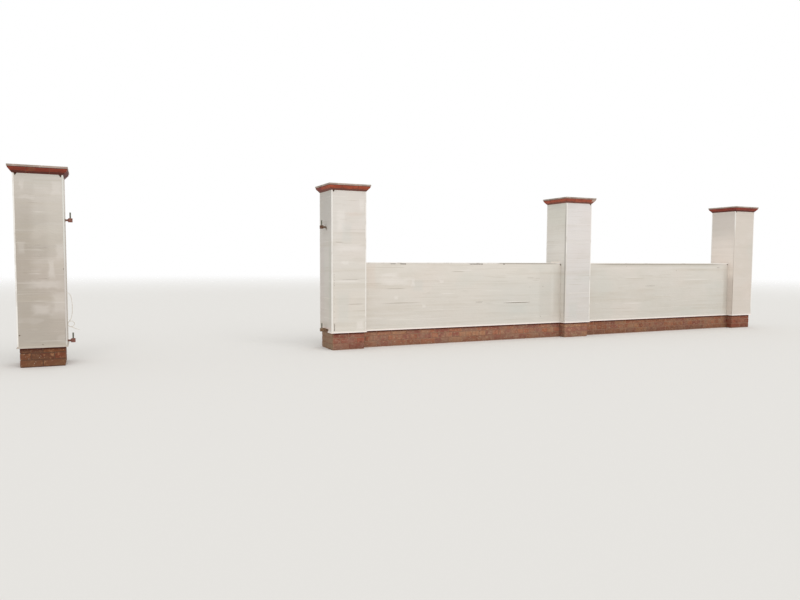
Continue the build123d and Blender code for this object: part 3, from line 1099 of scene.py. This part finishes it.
# Pits in the fronts: the place along the face, the height and the radius
bead_pits = (0.992, 0.959, 0.914, 0.882, 0.849, 0.7, 0.609, 0.505, 0.426)
pits = {
    "left_gate_pier": ((0.221, 1.068, 0.006), (-0.216, 0.354, 0.009), (0.003, 0.245, 0.007)),
    "right_gate_pier": tuple((-0.204, up, 0.004) for up in bead_pits),
    "first_bay": ((0.992, 0.784, 0.006), (1.233, 0.787, 0.006), (1.196, 0.331, 0.006)),
    "second_bay": ((2.9, 1.10, 0.005), (4.02, 1.02, 0.006)),
}
# Chips under the front top bead of a bay: the middle of each, its length and height
chips = {
    "first_bay": (
        (-1.2865, 0.083, 0.010),
        (-1.1345, 0.099, 0.0135),
        (0.0395, 0.253, 0.0125),
        (0.517, 0.032, 0.0135),
        (1.562, 0.034, 0.017),
    ),
    "second_bay": ((5.262, 0.034, 0.017),),
}
# The head of the broken patch over the right gate pier's plinth, towards the gateway
patch_head = [(patch_back, 0.258), (0.12, 0.262), (0.05, 0.272), (-0.03, 0.266)]
patch_head += [(-0.075, 0.271), (patch_front, 0.268)]
# The curved gap by its upper hook: the middle along the face, the drop from the hook's
# axis, the radius, and the radius, shift and turn of the arc that bites it
curve_along = 0.012
curve_drop = 0.046
curve_arcs = (0.064, 0.147, 0.108, math.radians(125))
# The crack beside the end pier
crack = [(5.2735, 0.2295), (5.2775, 0.2295), (5.2765, 0.28), (5.2755, 0.334), (5.2735, 0.3)]
# Laps that show from the front: the place, the height, the length and the size
laps = {
    "left_gate_pier": ((0.03, 0.967, 0.115, 1.0), (-0.06, 1.03, 0.2, 0.8)),
    "first_bay": ((0.757, 0.563, 0.44, 1.3),),
}
# Grooves scored by the float's edge: the place, the height, the length and the width
grooves = {
    "left_gate_pier": ((0.048, 0.968, 0.082, 0.006),),
    "right_gate_pier": ((-0.003, 0.923, 0.34, 0.0026),),
    "first_bay": ((0.76, 0.553, 0.6, 0.008), (0.094, 0.576, 0.148, 0.006)),
    "second_bay": ((3.42, 0.77, 0.3, 0.004), (5.028, 1.0725, 0.09, 0.006)),
}


def break_out(cutter, outlines, on_face, seed, kind):
    """Cuts breaks of one kind, and gives the seed for the next kind."""
    for number, outline in enumerate(outlines):
        broken_hole(cutter, outline, on_face, seed + number, *kind)
    return seed + len(outlines)


def pit_outlines(name):
    """A piece's pits, wider than they are high."""
    return [oval(place, up, 1.3 * radius, radius, 10) for place, up, radius in pits.get(name, ())]


def score(cutter, name, on_face, seed):
    """Cuts a piece's grooves, which taper to both ends."""
    for place, up, long, wide in grooves.get(name, ()):
        bend = place + long / 3
        outline = [(place - long / 2, up), (place - long / 4, up - wide / 2), (bend, up - wide / 2)]
        outline += [(place + long / 2, up + wide / 2), (bend, up + wide / 3), (place, up + wide / 2)]
        # So little that the two edges of a thin groove never cross
        rough = wide * 0.06
        broken_hole(cutter, outline, on_face, seed, groove_depths, 0.02, rough, 0.2)
        seed += 1


def lap_places(faces, seed, density, known):
    """Laps strewn over the faces, and those that the wall is known to have."""
    rng = random.Random(seed)
    places = []
    for on_face, turn, u0, u1, v0, v1 in faces:
        for number in range(round((u1 - u0) * (v1 - v0) * density)):
            u, v = rng.uniform(u0 + 0.1, u1 - 0.1), rng.uniform(v0 + 0.06, v1 - 0.06)
            long = rng.uniform(*lap_lengths)
            size = (long, lap_proud * rng.uniform(0.35, 0.75), lap_rise * rng.uniform(0.4, 0.9))
            places.append((on_face(u, v, lap_bed), turn, size))
    on_face, turn = faces[0][:2]
    for u, v, long, size in known:
        places.append((on_face(u, v, lap_bed), turn, (long, lap_proud * size, lap_rise * size)))
    return places


def finish_coat(name, number, coat, cutter, places):
    """Takes the breaks out of a coat and leaves the float's laps on it."""
    coat = cut_away(coat, cutter)
    coat.name = name + "_cut_coat"
    marked = set_out(
        name + "_base_coat",
        places,
        piece=lap,
        body=coat,
        tilt=lap_tilt,
        wear=lap_wear,
        wear_scale=lap_wear_scale,
        seed=number,
        finish=coats[name],
    )
    settle(marked, "render", name + "_render")


# Smears on the fronts, with painted shade and light among them: the kind, the middle's X and Z, and half
# the width and height
smears_and_shading = {
    "left_gate_pier": (
        ("pale", -5.635, 1.835, 0.075, 0.025),
        ("pale", -5.345, 1.945, 0.055, 0.085),
        ("pale", -5.68, 1.96, 0.02, 0.055),
        ("dull", -5.505, 1.585, 0.2, 0.075),
        ("pale", -5.705, 1.3, 0.035, 0.07),
        ("pale", -5.33, 1.26, 0.045, 0.095),
        ("pale", -5.42, 1.065, 0.03, 0.105),
        ("dull", -5.655, 1.06, 0.04, 0.12),
        ("pale", -5.49, 0.9, 0.195, 0.045),
        ("dull", -5.565, 0.78, 0.14, 0.07),
        ("pale", -5.52, 0.63, 0.095, 0.06),
        ("pale", -5.355, 0.69, 0.07, 0.115),
        ("dull", -5.67, 0.56, 0.045, 0.125),
        ("pale", -5.585, 1.02, 0.06, 0.007),
        # Painted shade on the left of the front, and painted light on its right
        ("shade", -5.7, 1.4, 0.13, 0.6),
        ("light", -5.36, 1.4, 0.11, 0.6),
    ),
    "right_gate_pier": (
        ("pale", -2.085, 1.685, 0.06, 0.155),
        ("cool", -2.005, 1.525, 0.075, 0.15),
        ("pale", -1.965, 1.345, 0.2, 0.06),
        ("pale", -2.03, 1.145, 0.055, 0.025),
        ("pale", -1.795, 1.895, 0.035, 0.085),
        ("warm", -1.91, 1.775, 0.105, 0.03),
        ("dark", -2.11, 1.41, 0.055, 0.005),
        ("pale", -1.975, 0.905, 0.17, 0.009),
        ("dark", -1.875, 0.6, 0.115, 0.005),
        ("cool", -2.05, 0.56, 0.09, 0.23),
        ("pale", -1.815, 0.32, 0.055, 0.065),
        # Painted light along the head of the coat, over the shade under the cap
        ("pale", -1.97, 2.06, 0.19, 0.02),
    ),
    "middle_pier": (
        ("pale", 1.67, 0.685, 0.025, 0.008),
        ("pale", 1.83, 0.685, 0.2, 0.006),
        ("cool", 1.72, 0.42, 0.1, 0.16),
    ),
    "first_bay": (
        ("cool", 0.86, 0.59, 0.7, 0.375),
        ("cool", 0.78, 0.455, 0.18, 0.09),
        ("cool", -0.905, 0.83, 0.095, 0.09),
        ("warm", -1.615, 0.965, 0.075, 0.19),
        ("pale", -1.335, 0.975, 0.14, 0.035),
        ("pale", -1.245, 0.88, 0.25, 0.05),
        ("pale", -0.98, 0.87, 0.025, 0.055),
        ("pale", -0.53, 0.885, 0.03, 0.025),
        ("pale", -1.24, 0.665, 0.03, 0.025),
        ("pale", -0.81, 0.545, 0.035, 0.025),
        ("pale", -0.15, 1.04, 0.135, 0.01),
        ("dark", -0.265, 1.02, 0.1, 0.005),
        ("pale", -0.425, 0.71, 0.115, 0.009),
        ("pale", 0.75, 0.57, 0.225, 0.008),
        ("dark", -1.25, 0.79, 0.145, 0.005),
        ("dark", -1.155, 0.59, 0.28, 0.005),
        # Painted shade at the bay's end, beside the middle pier
        ("dull", 1.5, 0.68, 0.08, 0.42),
        ("dull", 1.0, 0.925, 0.07, 0.013),
        ("dull", 1.13, 0.915, 0.05, 0.012),
        ("dull", 1.1, 0.885, 0.06, 0.008),
    ),
    "second_bay": (
        # Painted shade at the bay's end, beside the end pier
        ("dull", 5.24, 0.66, 0.07, 0.42),
        ("pale", 3.05, 0.49, 0.2, 0.008),
        ("pale", 4.5, 0.87, 0.3, 0.008),
    ),
}
# Each coat's colour at its head and at its foot, the heights between which it changes,
# and how strongly its smears and painted shading, and the float's marks, show
coat_looks = {
    "left_gate_pier": ((207, 200, 191), (181, 172, 161), (2.1, 0.9), 0.6, 1.0),
    "right_gate_pier": ((223, 217, 210), (218, 212, 202), (1.9, 0.3), 1.0, 1.0),
    "middle_pier": ((226, 221, 218), (214, 209, 204), (1.9, 0.3), 1.0, 0.9),
    "end_pier": ((216, 207, 197), (214, 205, 195), (1.9, 0.3), 1.0, 0.4),
    "first_bay": ((230, 223, 213), (217, 211, 202), (1.9, 0.3), 1.0, 1.0),
    "second_bay": ((227, 220, 211), (211, 206, 197), (1.9, 0.3), 1.0, 1.0),
}
# Painted light and shade on the faces that differ from the front: which way they look along X, and
# how much of each part of the light they give back at the head and lower down, beside the front
painted_face_light = {
    "left_gate_pier": (1, (1.24, 1.26, 1.28), (1.24, 1.26, 1.3)),
    "right_gate_pier": (-1, (0.79, 0.8, 0.8), (0.93, 0.94, 0.95)),
    "middle_pier": (-1, (0.99, 1.01, 0.94), (1.13, 1.14, 1.1)),
    "end_pier": (-1, (1.05, 1.06, 1.08), (1.36, 1.36, 1.38)),
}
# Stains and painted light and shade: painted light and shade on the gateway's faces,
# painted shade in the corners where the bays meet a pier and in the first bay's chip there,
# a painted pale line over that shade at the middle pier, and the dark line under the bays' top beads
coat_stains_and_shading = {
    "right_gate_pier": (
        ((208, 196, 194), 0.3, (-2.212, 0.15, 0.9), (0.02, 0.11, 0.66)),
        ((192, 194, 182), 0.35, (-2.212, -0.18, 0.9), (0.02, 0.07, 0.66)),
        ((224, 200, 190), 0.6, (-2.212, -0.06, 0.276), (0.02, 0.28, 0.016)),
    ),
    "middle_pier": (
        # Painted shade beside the front bead, and painted light where the first bay's top meets the face
        ((160, 154, 148), 0.5, (1.568, -0.216, 1.12), (0.01, 0.018, 1.0)),
        ((252, 244, 234), 1.0, (1.57, 0.01, 1.157), (0.01, 0.14, 0.014)),
    ),
    # Painted shade on the left face in front of the second bay
    "end_pier": (((150, 134, 124), 0.3, (5.285, -0.17, 0.5), (0.01, 0.1, 0.5)),),
    "first_bay": (
        ((178, 168, 154), 0.5, (-0.7, -0.1275, 1.133), (1.05, 0.006, 0.006)),
        ((150, 140, 126), 0.5, (0.95, -0.1275, 1.133), (0.64, 0.006, 0.007)),
        # Painted shade at the bay's end by the middle pier, and in the chip there
        ((172, 162, 148), 0.12, (1.28, -0.1275, 0.66), (0.14, 0.006, 0.45)),
        ((120, 108, 96), 0.85, (1.562, -0.1275, 1.12), (0.014, 0.006, 0.014)),
    ),
    "second_bay": (
        ((150, 140, 126), 0.9, (3.67, -0.1275, 1.129), (1.64, 0.006, 0.009)),
        ((192, 186, 174), 0.45, (3.67, -0.1275, 1.118), (1.64, 0.006, 0.03)),
    ),
}
coats = {}
for name, look in coat_looks.items():
    low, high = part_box(name + "_render")
    faces = []
    if name in painted_face_light:
        away, head, foot = painted_face_light[name]
        faces.append((high.x if away > 0 else low.x, away, head, foot))
    known = (smears_and_shading.get(name, ()), coat_stains_and_shading.get(name, ()))
    coats[name] = base_coat_finish(name + " base coat", look, faces, low.y, *known)
lap = float_lap()
bay_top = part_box("first_bay_brickwork")[1]
upper_hook_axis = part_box("right_gate_pier_upper_hook")[0].z + knuckle_height / 2
for number, name in enumerate(PIERS):
    low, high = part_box(name + "_render")
    bead_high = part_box(name + "_corner_beads")[1]
    centre = (low.x + high.x) / 2
    half = (high.x - low.x) / 2
    front = face_of(centre, half, "front")
    coat = pier_skin(name + "_coat", low, high, bead_high, (coats[name], broken_coat))
    cutter = bmesh.new()
    # The coat leaves a bay's end bare, for the bay's own coat
    for side in bay_sides.get(name, ()):
        ends = sorted((centre + side * half * 0.88, centre + side * half * 1.1))
        loft(cutter, box_rings(*ends, -bay_top.y, bay_top.y, low.z - 0.01, bay_top.z), material=1)
    near = bead_high.y - wedge_inset
    far = near - wedge_width
    tip = (near + far) / 2 + wedge_width / 6
    over = high.z + 0.004
    # Each piece's breaks draw from seeds of their own
    seed = 40 * number
    for face, side in wedges[name]:
        wedge = [(side * near, over), (side * far, over), (side * tip, high.z - wedge_drop)]
        seed = break_out(cutter, [wedge], face_of(centre, half, face), seed, wedge_break)
    for place, foot, top, width in slots.get(name, ()):
        slot = [(place - width / 2, foot), (place + width / 2, foot)]
        slot += [(place + width / 2, top), (place - width / 3, top)]
        seed = break_out(cutter, [slot], front, seed, slot_break)
    seed = break_out(cutter, pit_outlines(name), front, seed, pit_break)
    if name == "right_gate_pier":
        left_face = face_of(centre, half, "left")
        patch = [(patch_front - 0.004, low.z - 0.01), (patch_back, low.z - 0.01)] + patch_head
        broken_hole(cutter, patch, left_face, 91, *patch_break)
        curve = crescent(curve_along, upper_hook_axis - curve_drop, *curve_arcs)
        broken_hole(cutter, curve, left_face, 92, *curve_break)
    score(cutter, name, front, 700 + 10 * number)
    if name == "left_gate_pier":
        axes = [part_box(f"{name}_{level}_hook")[0].z + knuckle_height / 2 for level in ("lower", "upper")]
        holes = [oval(0, axis, hook_hole, hook_hole, 14) for axis in axes]
        seed = break_out(cutter, holes, face_of(centre, half, "right"), seed, hook_break)
    sides = ((front, 0.0), (face_of(centre, half, "back"), math.pi))
    lap_bounds = (-pier_lap_reach, pier_lap_reach, lowest_pier_lap, high.z - pier_lap_headroom)
    faces = [(face, turn, *lap_bounds) for face, turn in sides]
    places = lap_places(faces, 60 + number, pier_laps, laps.get(name, ()))
    finish_coat(name, number, coat, cutter, places)
for number, name in enumerate(BAYS):
    low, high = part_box(name + "_render")
    bead_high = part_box(name + "_top_beads")[1]
    core_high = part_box(name + "_brickwork")[1]
    front = face_of(0.0, high.y, "front")
    coat = bay_skin(name + "_coat", low, high, bead_high, core_high, (coats[name], broken_coat))
    cutter = bmesh.new()
    ledge = bead_high.z - bead_leg
    seed = 300 + 40 * number
    for middle, long, tall in chips[name]:
        chip = [(middle - long * 0.5, ledge + 0.001), (middle - long * 0.44, ledge - tall * 0.85)]
        chip += [(middle + long * 0.44, ledge - tall), (middle + long * 0.5, ledge + 0.001)]
        seed = break_out(cutter, [chip], front, seed, chip_break)
    seed = break_out(cutter, pit_outlines(name), front, seed, pit_break)
    score(cutter, name, front, 750 + 10 * number)
    if name == "second_bay":
        broken_hole(cutter, crack, front, seed, *crack_break)
    sides = ((front, 0.0), (face_of(0.0, high.y, "back"), math.pi))
    lap_bounds = (low.x, high.x, low.z + bay_lap_margin, high.z - bay_lap_margin)
    faces = [(face, turn, *lap_bounds) for face, turn in sides]
    places = lap_places(faces, 80 + number, bay_laps, laps.get(name, ()))
    finish_coat(name, number, coat, cutter, places)
bpy.data.objects.remove(lap)

# Pier caps. A course of smooth red clay bricks, cut to a cant that steps out from the
# pier and mitred at the corners, under one thin pale slab with a slight fall.
cap_joint = 0.007
cap_recess = 0.002
cap_middle_brick = 0.215
cap_brick_depth = 0.102
cap_upright = 0.015
cap_clearance = 0.0005
cap_wander = 0.0012
cap_arris = 0.0016
mitre_gap = 0.0008
slab_cuts = 28
# How deep the slab's edge is bitten and chipped, and how far its top dips
slab_bite = 0.012
slab_chip = 0.0012
slab_dip = 0.0006
slab_fall = 0.003


def cap_clay_finish(name, plain, deep, low_cant_shade, stains_and_shading=()):
    """Smooth red clay, orange where it is worn, with painted shade, duller and purple, low on the cant and
    a painted shadow line under the slab.
    """
    clay = Finish(name, 0.72)
    rise = clay.attribute("rise")
    clay.ground(clay.attribute("firing"), plain, deep)
    worn = clay.cloud(9, 4, stretch=(1, 1, 3))
    bright = [min(1.0, 1.3 * part) for part in srgb(*plain)[:3]]
    dark = [0.65 * part for part in srgb(*deep)[:3]]
    clay.colour = clay.blend(clay.mask(worn, 0.52, 0.68, 0.6), clay.colour, (*bright, 1.0))
    clay.colour = clay.blend(clay.mask(worn, 0.45, 0.3, 0.6), clay.colour, (*dark, 1.0))
    clay.lay_stains_and_shading(stains_and_shading)
    clay.wash(clay.mask(clay.cloud(6, 4, shift=(3, 3, 8)), 0.62, 0.72, 0.3), (124, 98, 66))
    # Painted shade low on the cant, which faces down
    ragged = clay.reckon("ADD", rise, clay.reckon("MULTIPLY", worn, 0.16))
    clay.wash(clay.mask(ragged, 0.5, 0.4, 0.9), low_cant_shade)
    # Painted shadow in a line under the slab's overhang
    clay.wash(clay.mask(rise, 0.88, 0.95, 0.8), (92, 50, 46))
    clay.relief(clay.cloud(130, 3), 0.0009)
    return clay.made()


def pointing_finish():
    """Reddish mortar between the cap bricks."""
    pointing = Finish("cap pointing", 0.95)
    sand = pointing.cloud(260, 3)
    pointing.ground(pointing.mask(sand, 0.35, 0.65), (108, 64, 50), (134, 86, 70))
    pointing.relief(sand, 0.001)
    return pointing.made()


def slab_finish():
    """A pale cast slab, sandy, with lichen and rain marks."""
    stone = Finish("weathered cast slab", 0.94)
    stone.ground(stone.mask(stone.cloud(7, 5), 0.4, 0.62), (178, 160, 148), (154, 138, 126))
    stone.wash(stone.mask(stone.cloud(28, 3, shift=(2, 6, 1)), 0.6, 0.68, 0.7), (206, 198, 182))
    stone.wash(stone.mask(stone.cloud(55, 4, shift=(9, 2, 4)), 0.6, 0.72, 0.6), (116, 106, 92))
    stone.relief(stone.cloud(45, 4), 0.003)
    stone.relief(stone.cloud(330, 2), 0.0007)
    return stone.made()


def cant_section(step_out, cant, rise, inset):
    """The cap brick in section, as (out from the pier, height above its foot)."""
    return (
        (-cap_brick_depth, inset),
        (-inset, inset),
        (step_out - inset, cant + inset * 0.4),
        (step_out - inset, rise - inset * 0.5),
        (-cap_brick_depth, rise - inset * 0.5),
    )


# Each cap's clay: its usual and its deepest colour, and the painted shade low on the cant
cap_tones = {
    "left_gate_pier": ((144, 64, 42), (128, 54, 38), (86, 44, 36)),
    "right_gate_pier": ((166, 80, 54), (152, 72, 52), (112, 70, 60)),
    "middle_pier": ((170, 86, 62), (150, 74, 56), (122, 78, 66)),
    "end_pier": ((148, 64, 48), (132, 54, 44), (98, 52, 44)),
}
# Painted shade, dark purple, on the gate piers' cap ends towards the gateway, and mortar left on the middle
# cap
cap_shade_and_mortar = {
    "left_gate_pier": (((78, 32, 34), 0.7, (-5.22, 0.0, 2.12), (0.06, 0.3, 0.1)),),
    "right_gate_pier": (((112, 44, 50), 0.6, (-2.25, 0.17, 2.1), (0.08, 0.14, 0.06)),),
    "middle_pier": (((204, 186, 172), 0.8, (2.07, -0.28, 2.122), (0.06, 0.05, 0.03)),),
}
# Each brick's ends along its side; None stands for the mitre at the corner
middle = cap_middle_brick / 2
cap_bricks = ((None, -middle - cap_joint), (-middle, middle), (middle + cap_joint, None))
pointing = pointing_finish()
for number, name in enumerate(PIERS):
    node = name + "_cap_course"
    low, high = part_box(node)
    centre = (low.x + high.x) / 2
    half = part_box(name + "_corner_beads")[1].y
    step_out = high.y - half
    rise = high.z - low.z
    cant = rise - cap_upright
    section = cant_section(step_out, cant, rise, cap_clearance)
    bm = bmesh.new()
    tone = bm.verts.layers.float.new("firing")
    level = bm.verts.layers.float.new("rise")
    rng = random.Random(500 + number)
    for side in range(4):
        for start, end in cap_bricks:
            rings = []
            for share in (0, 0.33, 0.67, 1):
                ring = []
                for out, up in section:
                    mitre = half + out - mitre_gap
                    first = -mitre if start is None else start
                    last = mitre if end is None else end
                    x, y = first + (last - first) * share, -(half + out)
                    wander = soft_noise(Vector((x * 30, y * 30 + side, up * 30 + number)))
                    x, y = turned(x, y + abs(cap_wander * wander), side)
                    ring.append((centre + x, y, low.z + up))
                rings.append(ring)
            earlier = set(bm.verts)
            rows = loft(bm, rings)
            edges = {edge for row in rows for vert in row for edge in vert.link_edges}
            arrises = [edge for edge in edges if edge.is_manifold and edge.calc_face_angle(0) > 0.5]
            bmesh.ops.bevel(bm, geom=arrises, offset=cap_arris, segments=2, affect="EDGES")
            firing = rng.random()
            for vert in bm.verts:
                if vert not in earlier:
                    vert[tone] = firing
                    vert[level] = (vert.co.z - low.z) / rise
    # The pointing is one body, a little behind the bricks' faces
    foot = half - cap_recess
    head = half + step_out - cap_recess
    bed = ((low.z + 0.0004, foot), (low.z + cant, head), (high.z - 0.0008, head))
    loft(bm, [[(centre + sx * wide, sy * wide, z) for sx, sy in corners] for z, wide in bed], material=1)
    cap_clay = cap_clay_finish(name + " cap clay", *cap_tones[name], cap_shade_and_mortar.get(name, ()))
    caps = as_object(name + "_canted_bricks", bm, cap_clay, pointing)
    settle(caps, "cap_brick", node)
slab_stone = slab_finish()
for number, name in enumerate(PIERS):
    node = name + "_cap_slab"
    low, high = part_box(node)
    centre = (low.x + high.x) / 2
    half = high.y
    thick = high.z - low.z
    edge = thick - slab_fall
    # Half the slab's width at each height, up from its underside and in to its middle
    levels = ((half - 0.0015, 0.0), (half, 0.0015), (half - 0.0006, edge * 0.55), (half, edge - 0.002))
    levels += ((half - 0.0022, edge - 0.0003), (half * 0.94, edge + 0.0003), (half * 0.75, edge + 0.0012))
    levels += ((half * 0.5, edge + 0.0022), (half * 0.25, edge + 0.0028), (half * 0.08, edge + 0.003))
    rings = []
    for wide, up in levels:
        ring = []
        for side in range(4):
            for step in range(slab_cuts):
                x, y = turned((2 * step / slab_cuts - 1) * wide, -wide, side)
                outline = Vector((x / wide * 3.1, y / wide * 3.1, number * 7.0))
                bite = max(0, soft_noise(outline * 2.3) - 0.25) * slab_bite
                bite += slab_chip * abs(soft_noise(outline * 6))
                pull = 1 - bite / half * (wide / half) ** 6
                dip = slab_dip * (1 + soft_noise(Vector((x * 14, y * 14, number)))) * (0 < up < thick)
                ring.append((centre + x * pull, y * pull, low.z + max(0, up - dip)))
        rings.append(ring)
    bm = bmesh.new()
    loft(bm, rings)
    settle(as_object(name + "_weathered_slab", bm, slab_stone), "cap_slab", node)

# Cable tail. A thin white cable that comes out through the left gate pier's inner
# face, hangs beside it, turns one and a half times round in a small loop and ends
# bare, cut square.
cable_diameter = 0.0065
cable_exit = (-5.285, 0.030, 0.792)
# Distances out from the pier's face and heights above the ground
cable_drop = ((0, 0.792), (0.015, 0.792), (0.032, 0.778), (0.044, 0.746), (0.051, 0.698))
cable_drop += ((0.054, 0.640), (0.053, 0.582), (0.047, 0.531), (0.037, 0.496))
cable_loop_centre = (0.038, 0.440)
cable_loop_radius = 0.034
cable_loop_pitch = 0.010
cable_loop_start = 112
cable_loop_step = 30
cable_loop_points = 17
cable_end = ((0.051, 0.402), (0.072, 0.391), (0.096, 0.378), (0.123, 0.371))


def cable_finish():
    """White plastic, dusty."""
    sheath = Finish("white cable sheath", 0.45, 0.4)
    sheath.ground(sheath.mask(sheath.cloud(70, 3), 0.45, 0.65, 0.7), (236, 231, 221), (208, 196, 178))
    sheath.relief(sheath.cloud(260, 2), 0.0002)
    return sheath.made()


route = [(cable_exit[0] + out, cable_exit[1], up) for out, up in cable_drop]
for number in range(1, cable_loop_points + 1):
    degrees = number * cable_loop_step
    angle = math.radians(cable_loop_start + degrees)
    x = cable_exit[0] + cable_loop_centre[0] + cable_loop_radius * math.cos(angle)
    y = cable_exit[1] - cable_loop_pitch * degrees / 360
    route.append((x, y, cable_loop_centre[1] + cable_loop_radius * math.sin(angle)))
route += [(cable_exit[0] + out, route[-1][1], up) for out, up in cable_end]
line = bpy.data.curves.new("cable_line", "CURVE")
line.dimensions = "3D"
line.bevel_depth = cable_diameter / 2
line.bevel_resolution = 5
line.resolution_u = 8
line.use_fill_caps = True
spline = line.splines.new("NURBS")
spline.points.add(len(route) - 1)
for point, spot in zip(spline.points, route):
    point.co = (*spot, 1)
spline.order_u = 3
spline.use_endpoint_u = True
line.materials.append(cable_finish())
cable = shown("cable", line)
settle(cable, "cable", "cable_tail")

# Studio. A plain pale floor under an even white sky, with one broad soft lamp high in
# front, as under thin cloud, and the camera where the wall is looked at from.
sky_strength = 0.8
lamp_strength = 1.0
lamp_spread = 50
lamp_from = (0.05, -0.63, 0.77)
floor_reach = 60.0
floor_whole = 12.0
floor_gone = 45.0
camera_place = (-5.05203, -8.38971, 1.18298)
camera_turn = 25.104
camera_dip = 3.448
camera_roll = 0.26
camera_lens = 29.875

bm = bmesh.new()
bmesh.ops.create_grid(bm, x_segments=1, y_segments=1, size=floor_reach)
paving = Finish("plain pale floor", 0.95, 0.1)
paving.shader.inputs["Base Color"].default_value = srgb(226, 224, 220)
# Far from the wall the floor fades away into the sky
away = put(paving.tree, "ShaderNodeVectorMath", {0: paving.place}, operation="LENGTH").outputs["Value"]
paving.tree.links.new(paving.mask(away, floor_gone, floor_whole), paving.shader.inputs["Alpha"])
floor = as_object("floor", bm, paving.material)

world = bpy.data.worlds.new("even white sky")
world.use_nodes = True
bpy.context.scene.world = world
sky = world.node_tree.nodes["Background"].inputs
seen = put(world.node_tree, "ShaderNodeLightPath").outputs["Is Camera Ray"]
level = put(world.node_tree, "ShaderNodeMapRange", {"Value": seen, "To Min": sky_strength, "To Max": 1.0})
sky["Color"].default_value = (1.0, 1.0, 1.0, 1.0)
world.node_tree.links.new(level.outputs["Result"], sky["Strength"])

lamp = bpy.data.lights.new("soft lamp", "SUN")
lamp.energy = lamp_strength
lamp.angle = math.radians(lamp_spread)
shown("soft_lamp", lamp).rotation_euler = Vector(lamp_from).to_track_quat("Z", "Y").to_euler()

camera = bpy.data.cameras.new("camera")
camera.sensor_width = 36.0
camera.lens = camera_lens
yaw, dip, roll = (math.radians(angle) for angle in (camera_turn, camera_dip, camera_roll))
ahead = Vector((math.sin(yaw) * math.cos(dip), math.cos(yaw) * math.cos(dip), -math.sin(dip)))
level_right = Vector((math.cos(yaw), -math.sin(yaw), 0))
level_up = level_right.cross(ahead)
right = math.cos(roll) * level_right + math.sin(roll) * level_up
up = math.cos(roll) * level_up - math.sin(roll) * level_right
camera_object = shown("camera", camera)
camera_object.matrix_world = Matrix(
    (
        (right.x, up.x, -ahead.x, camera_place[0]),
        (right.y, up.y, -ahead.y, camera_place[1]),
        (right.z, up.z, -ahead.z, camera_place[2]),
        (0, 0, 0, 1),
    )
)
bpy.context.scene.camera = camera_object
bpy.context.scene.view_settings.view_transform = "Standard"
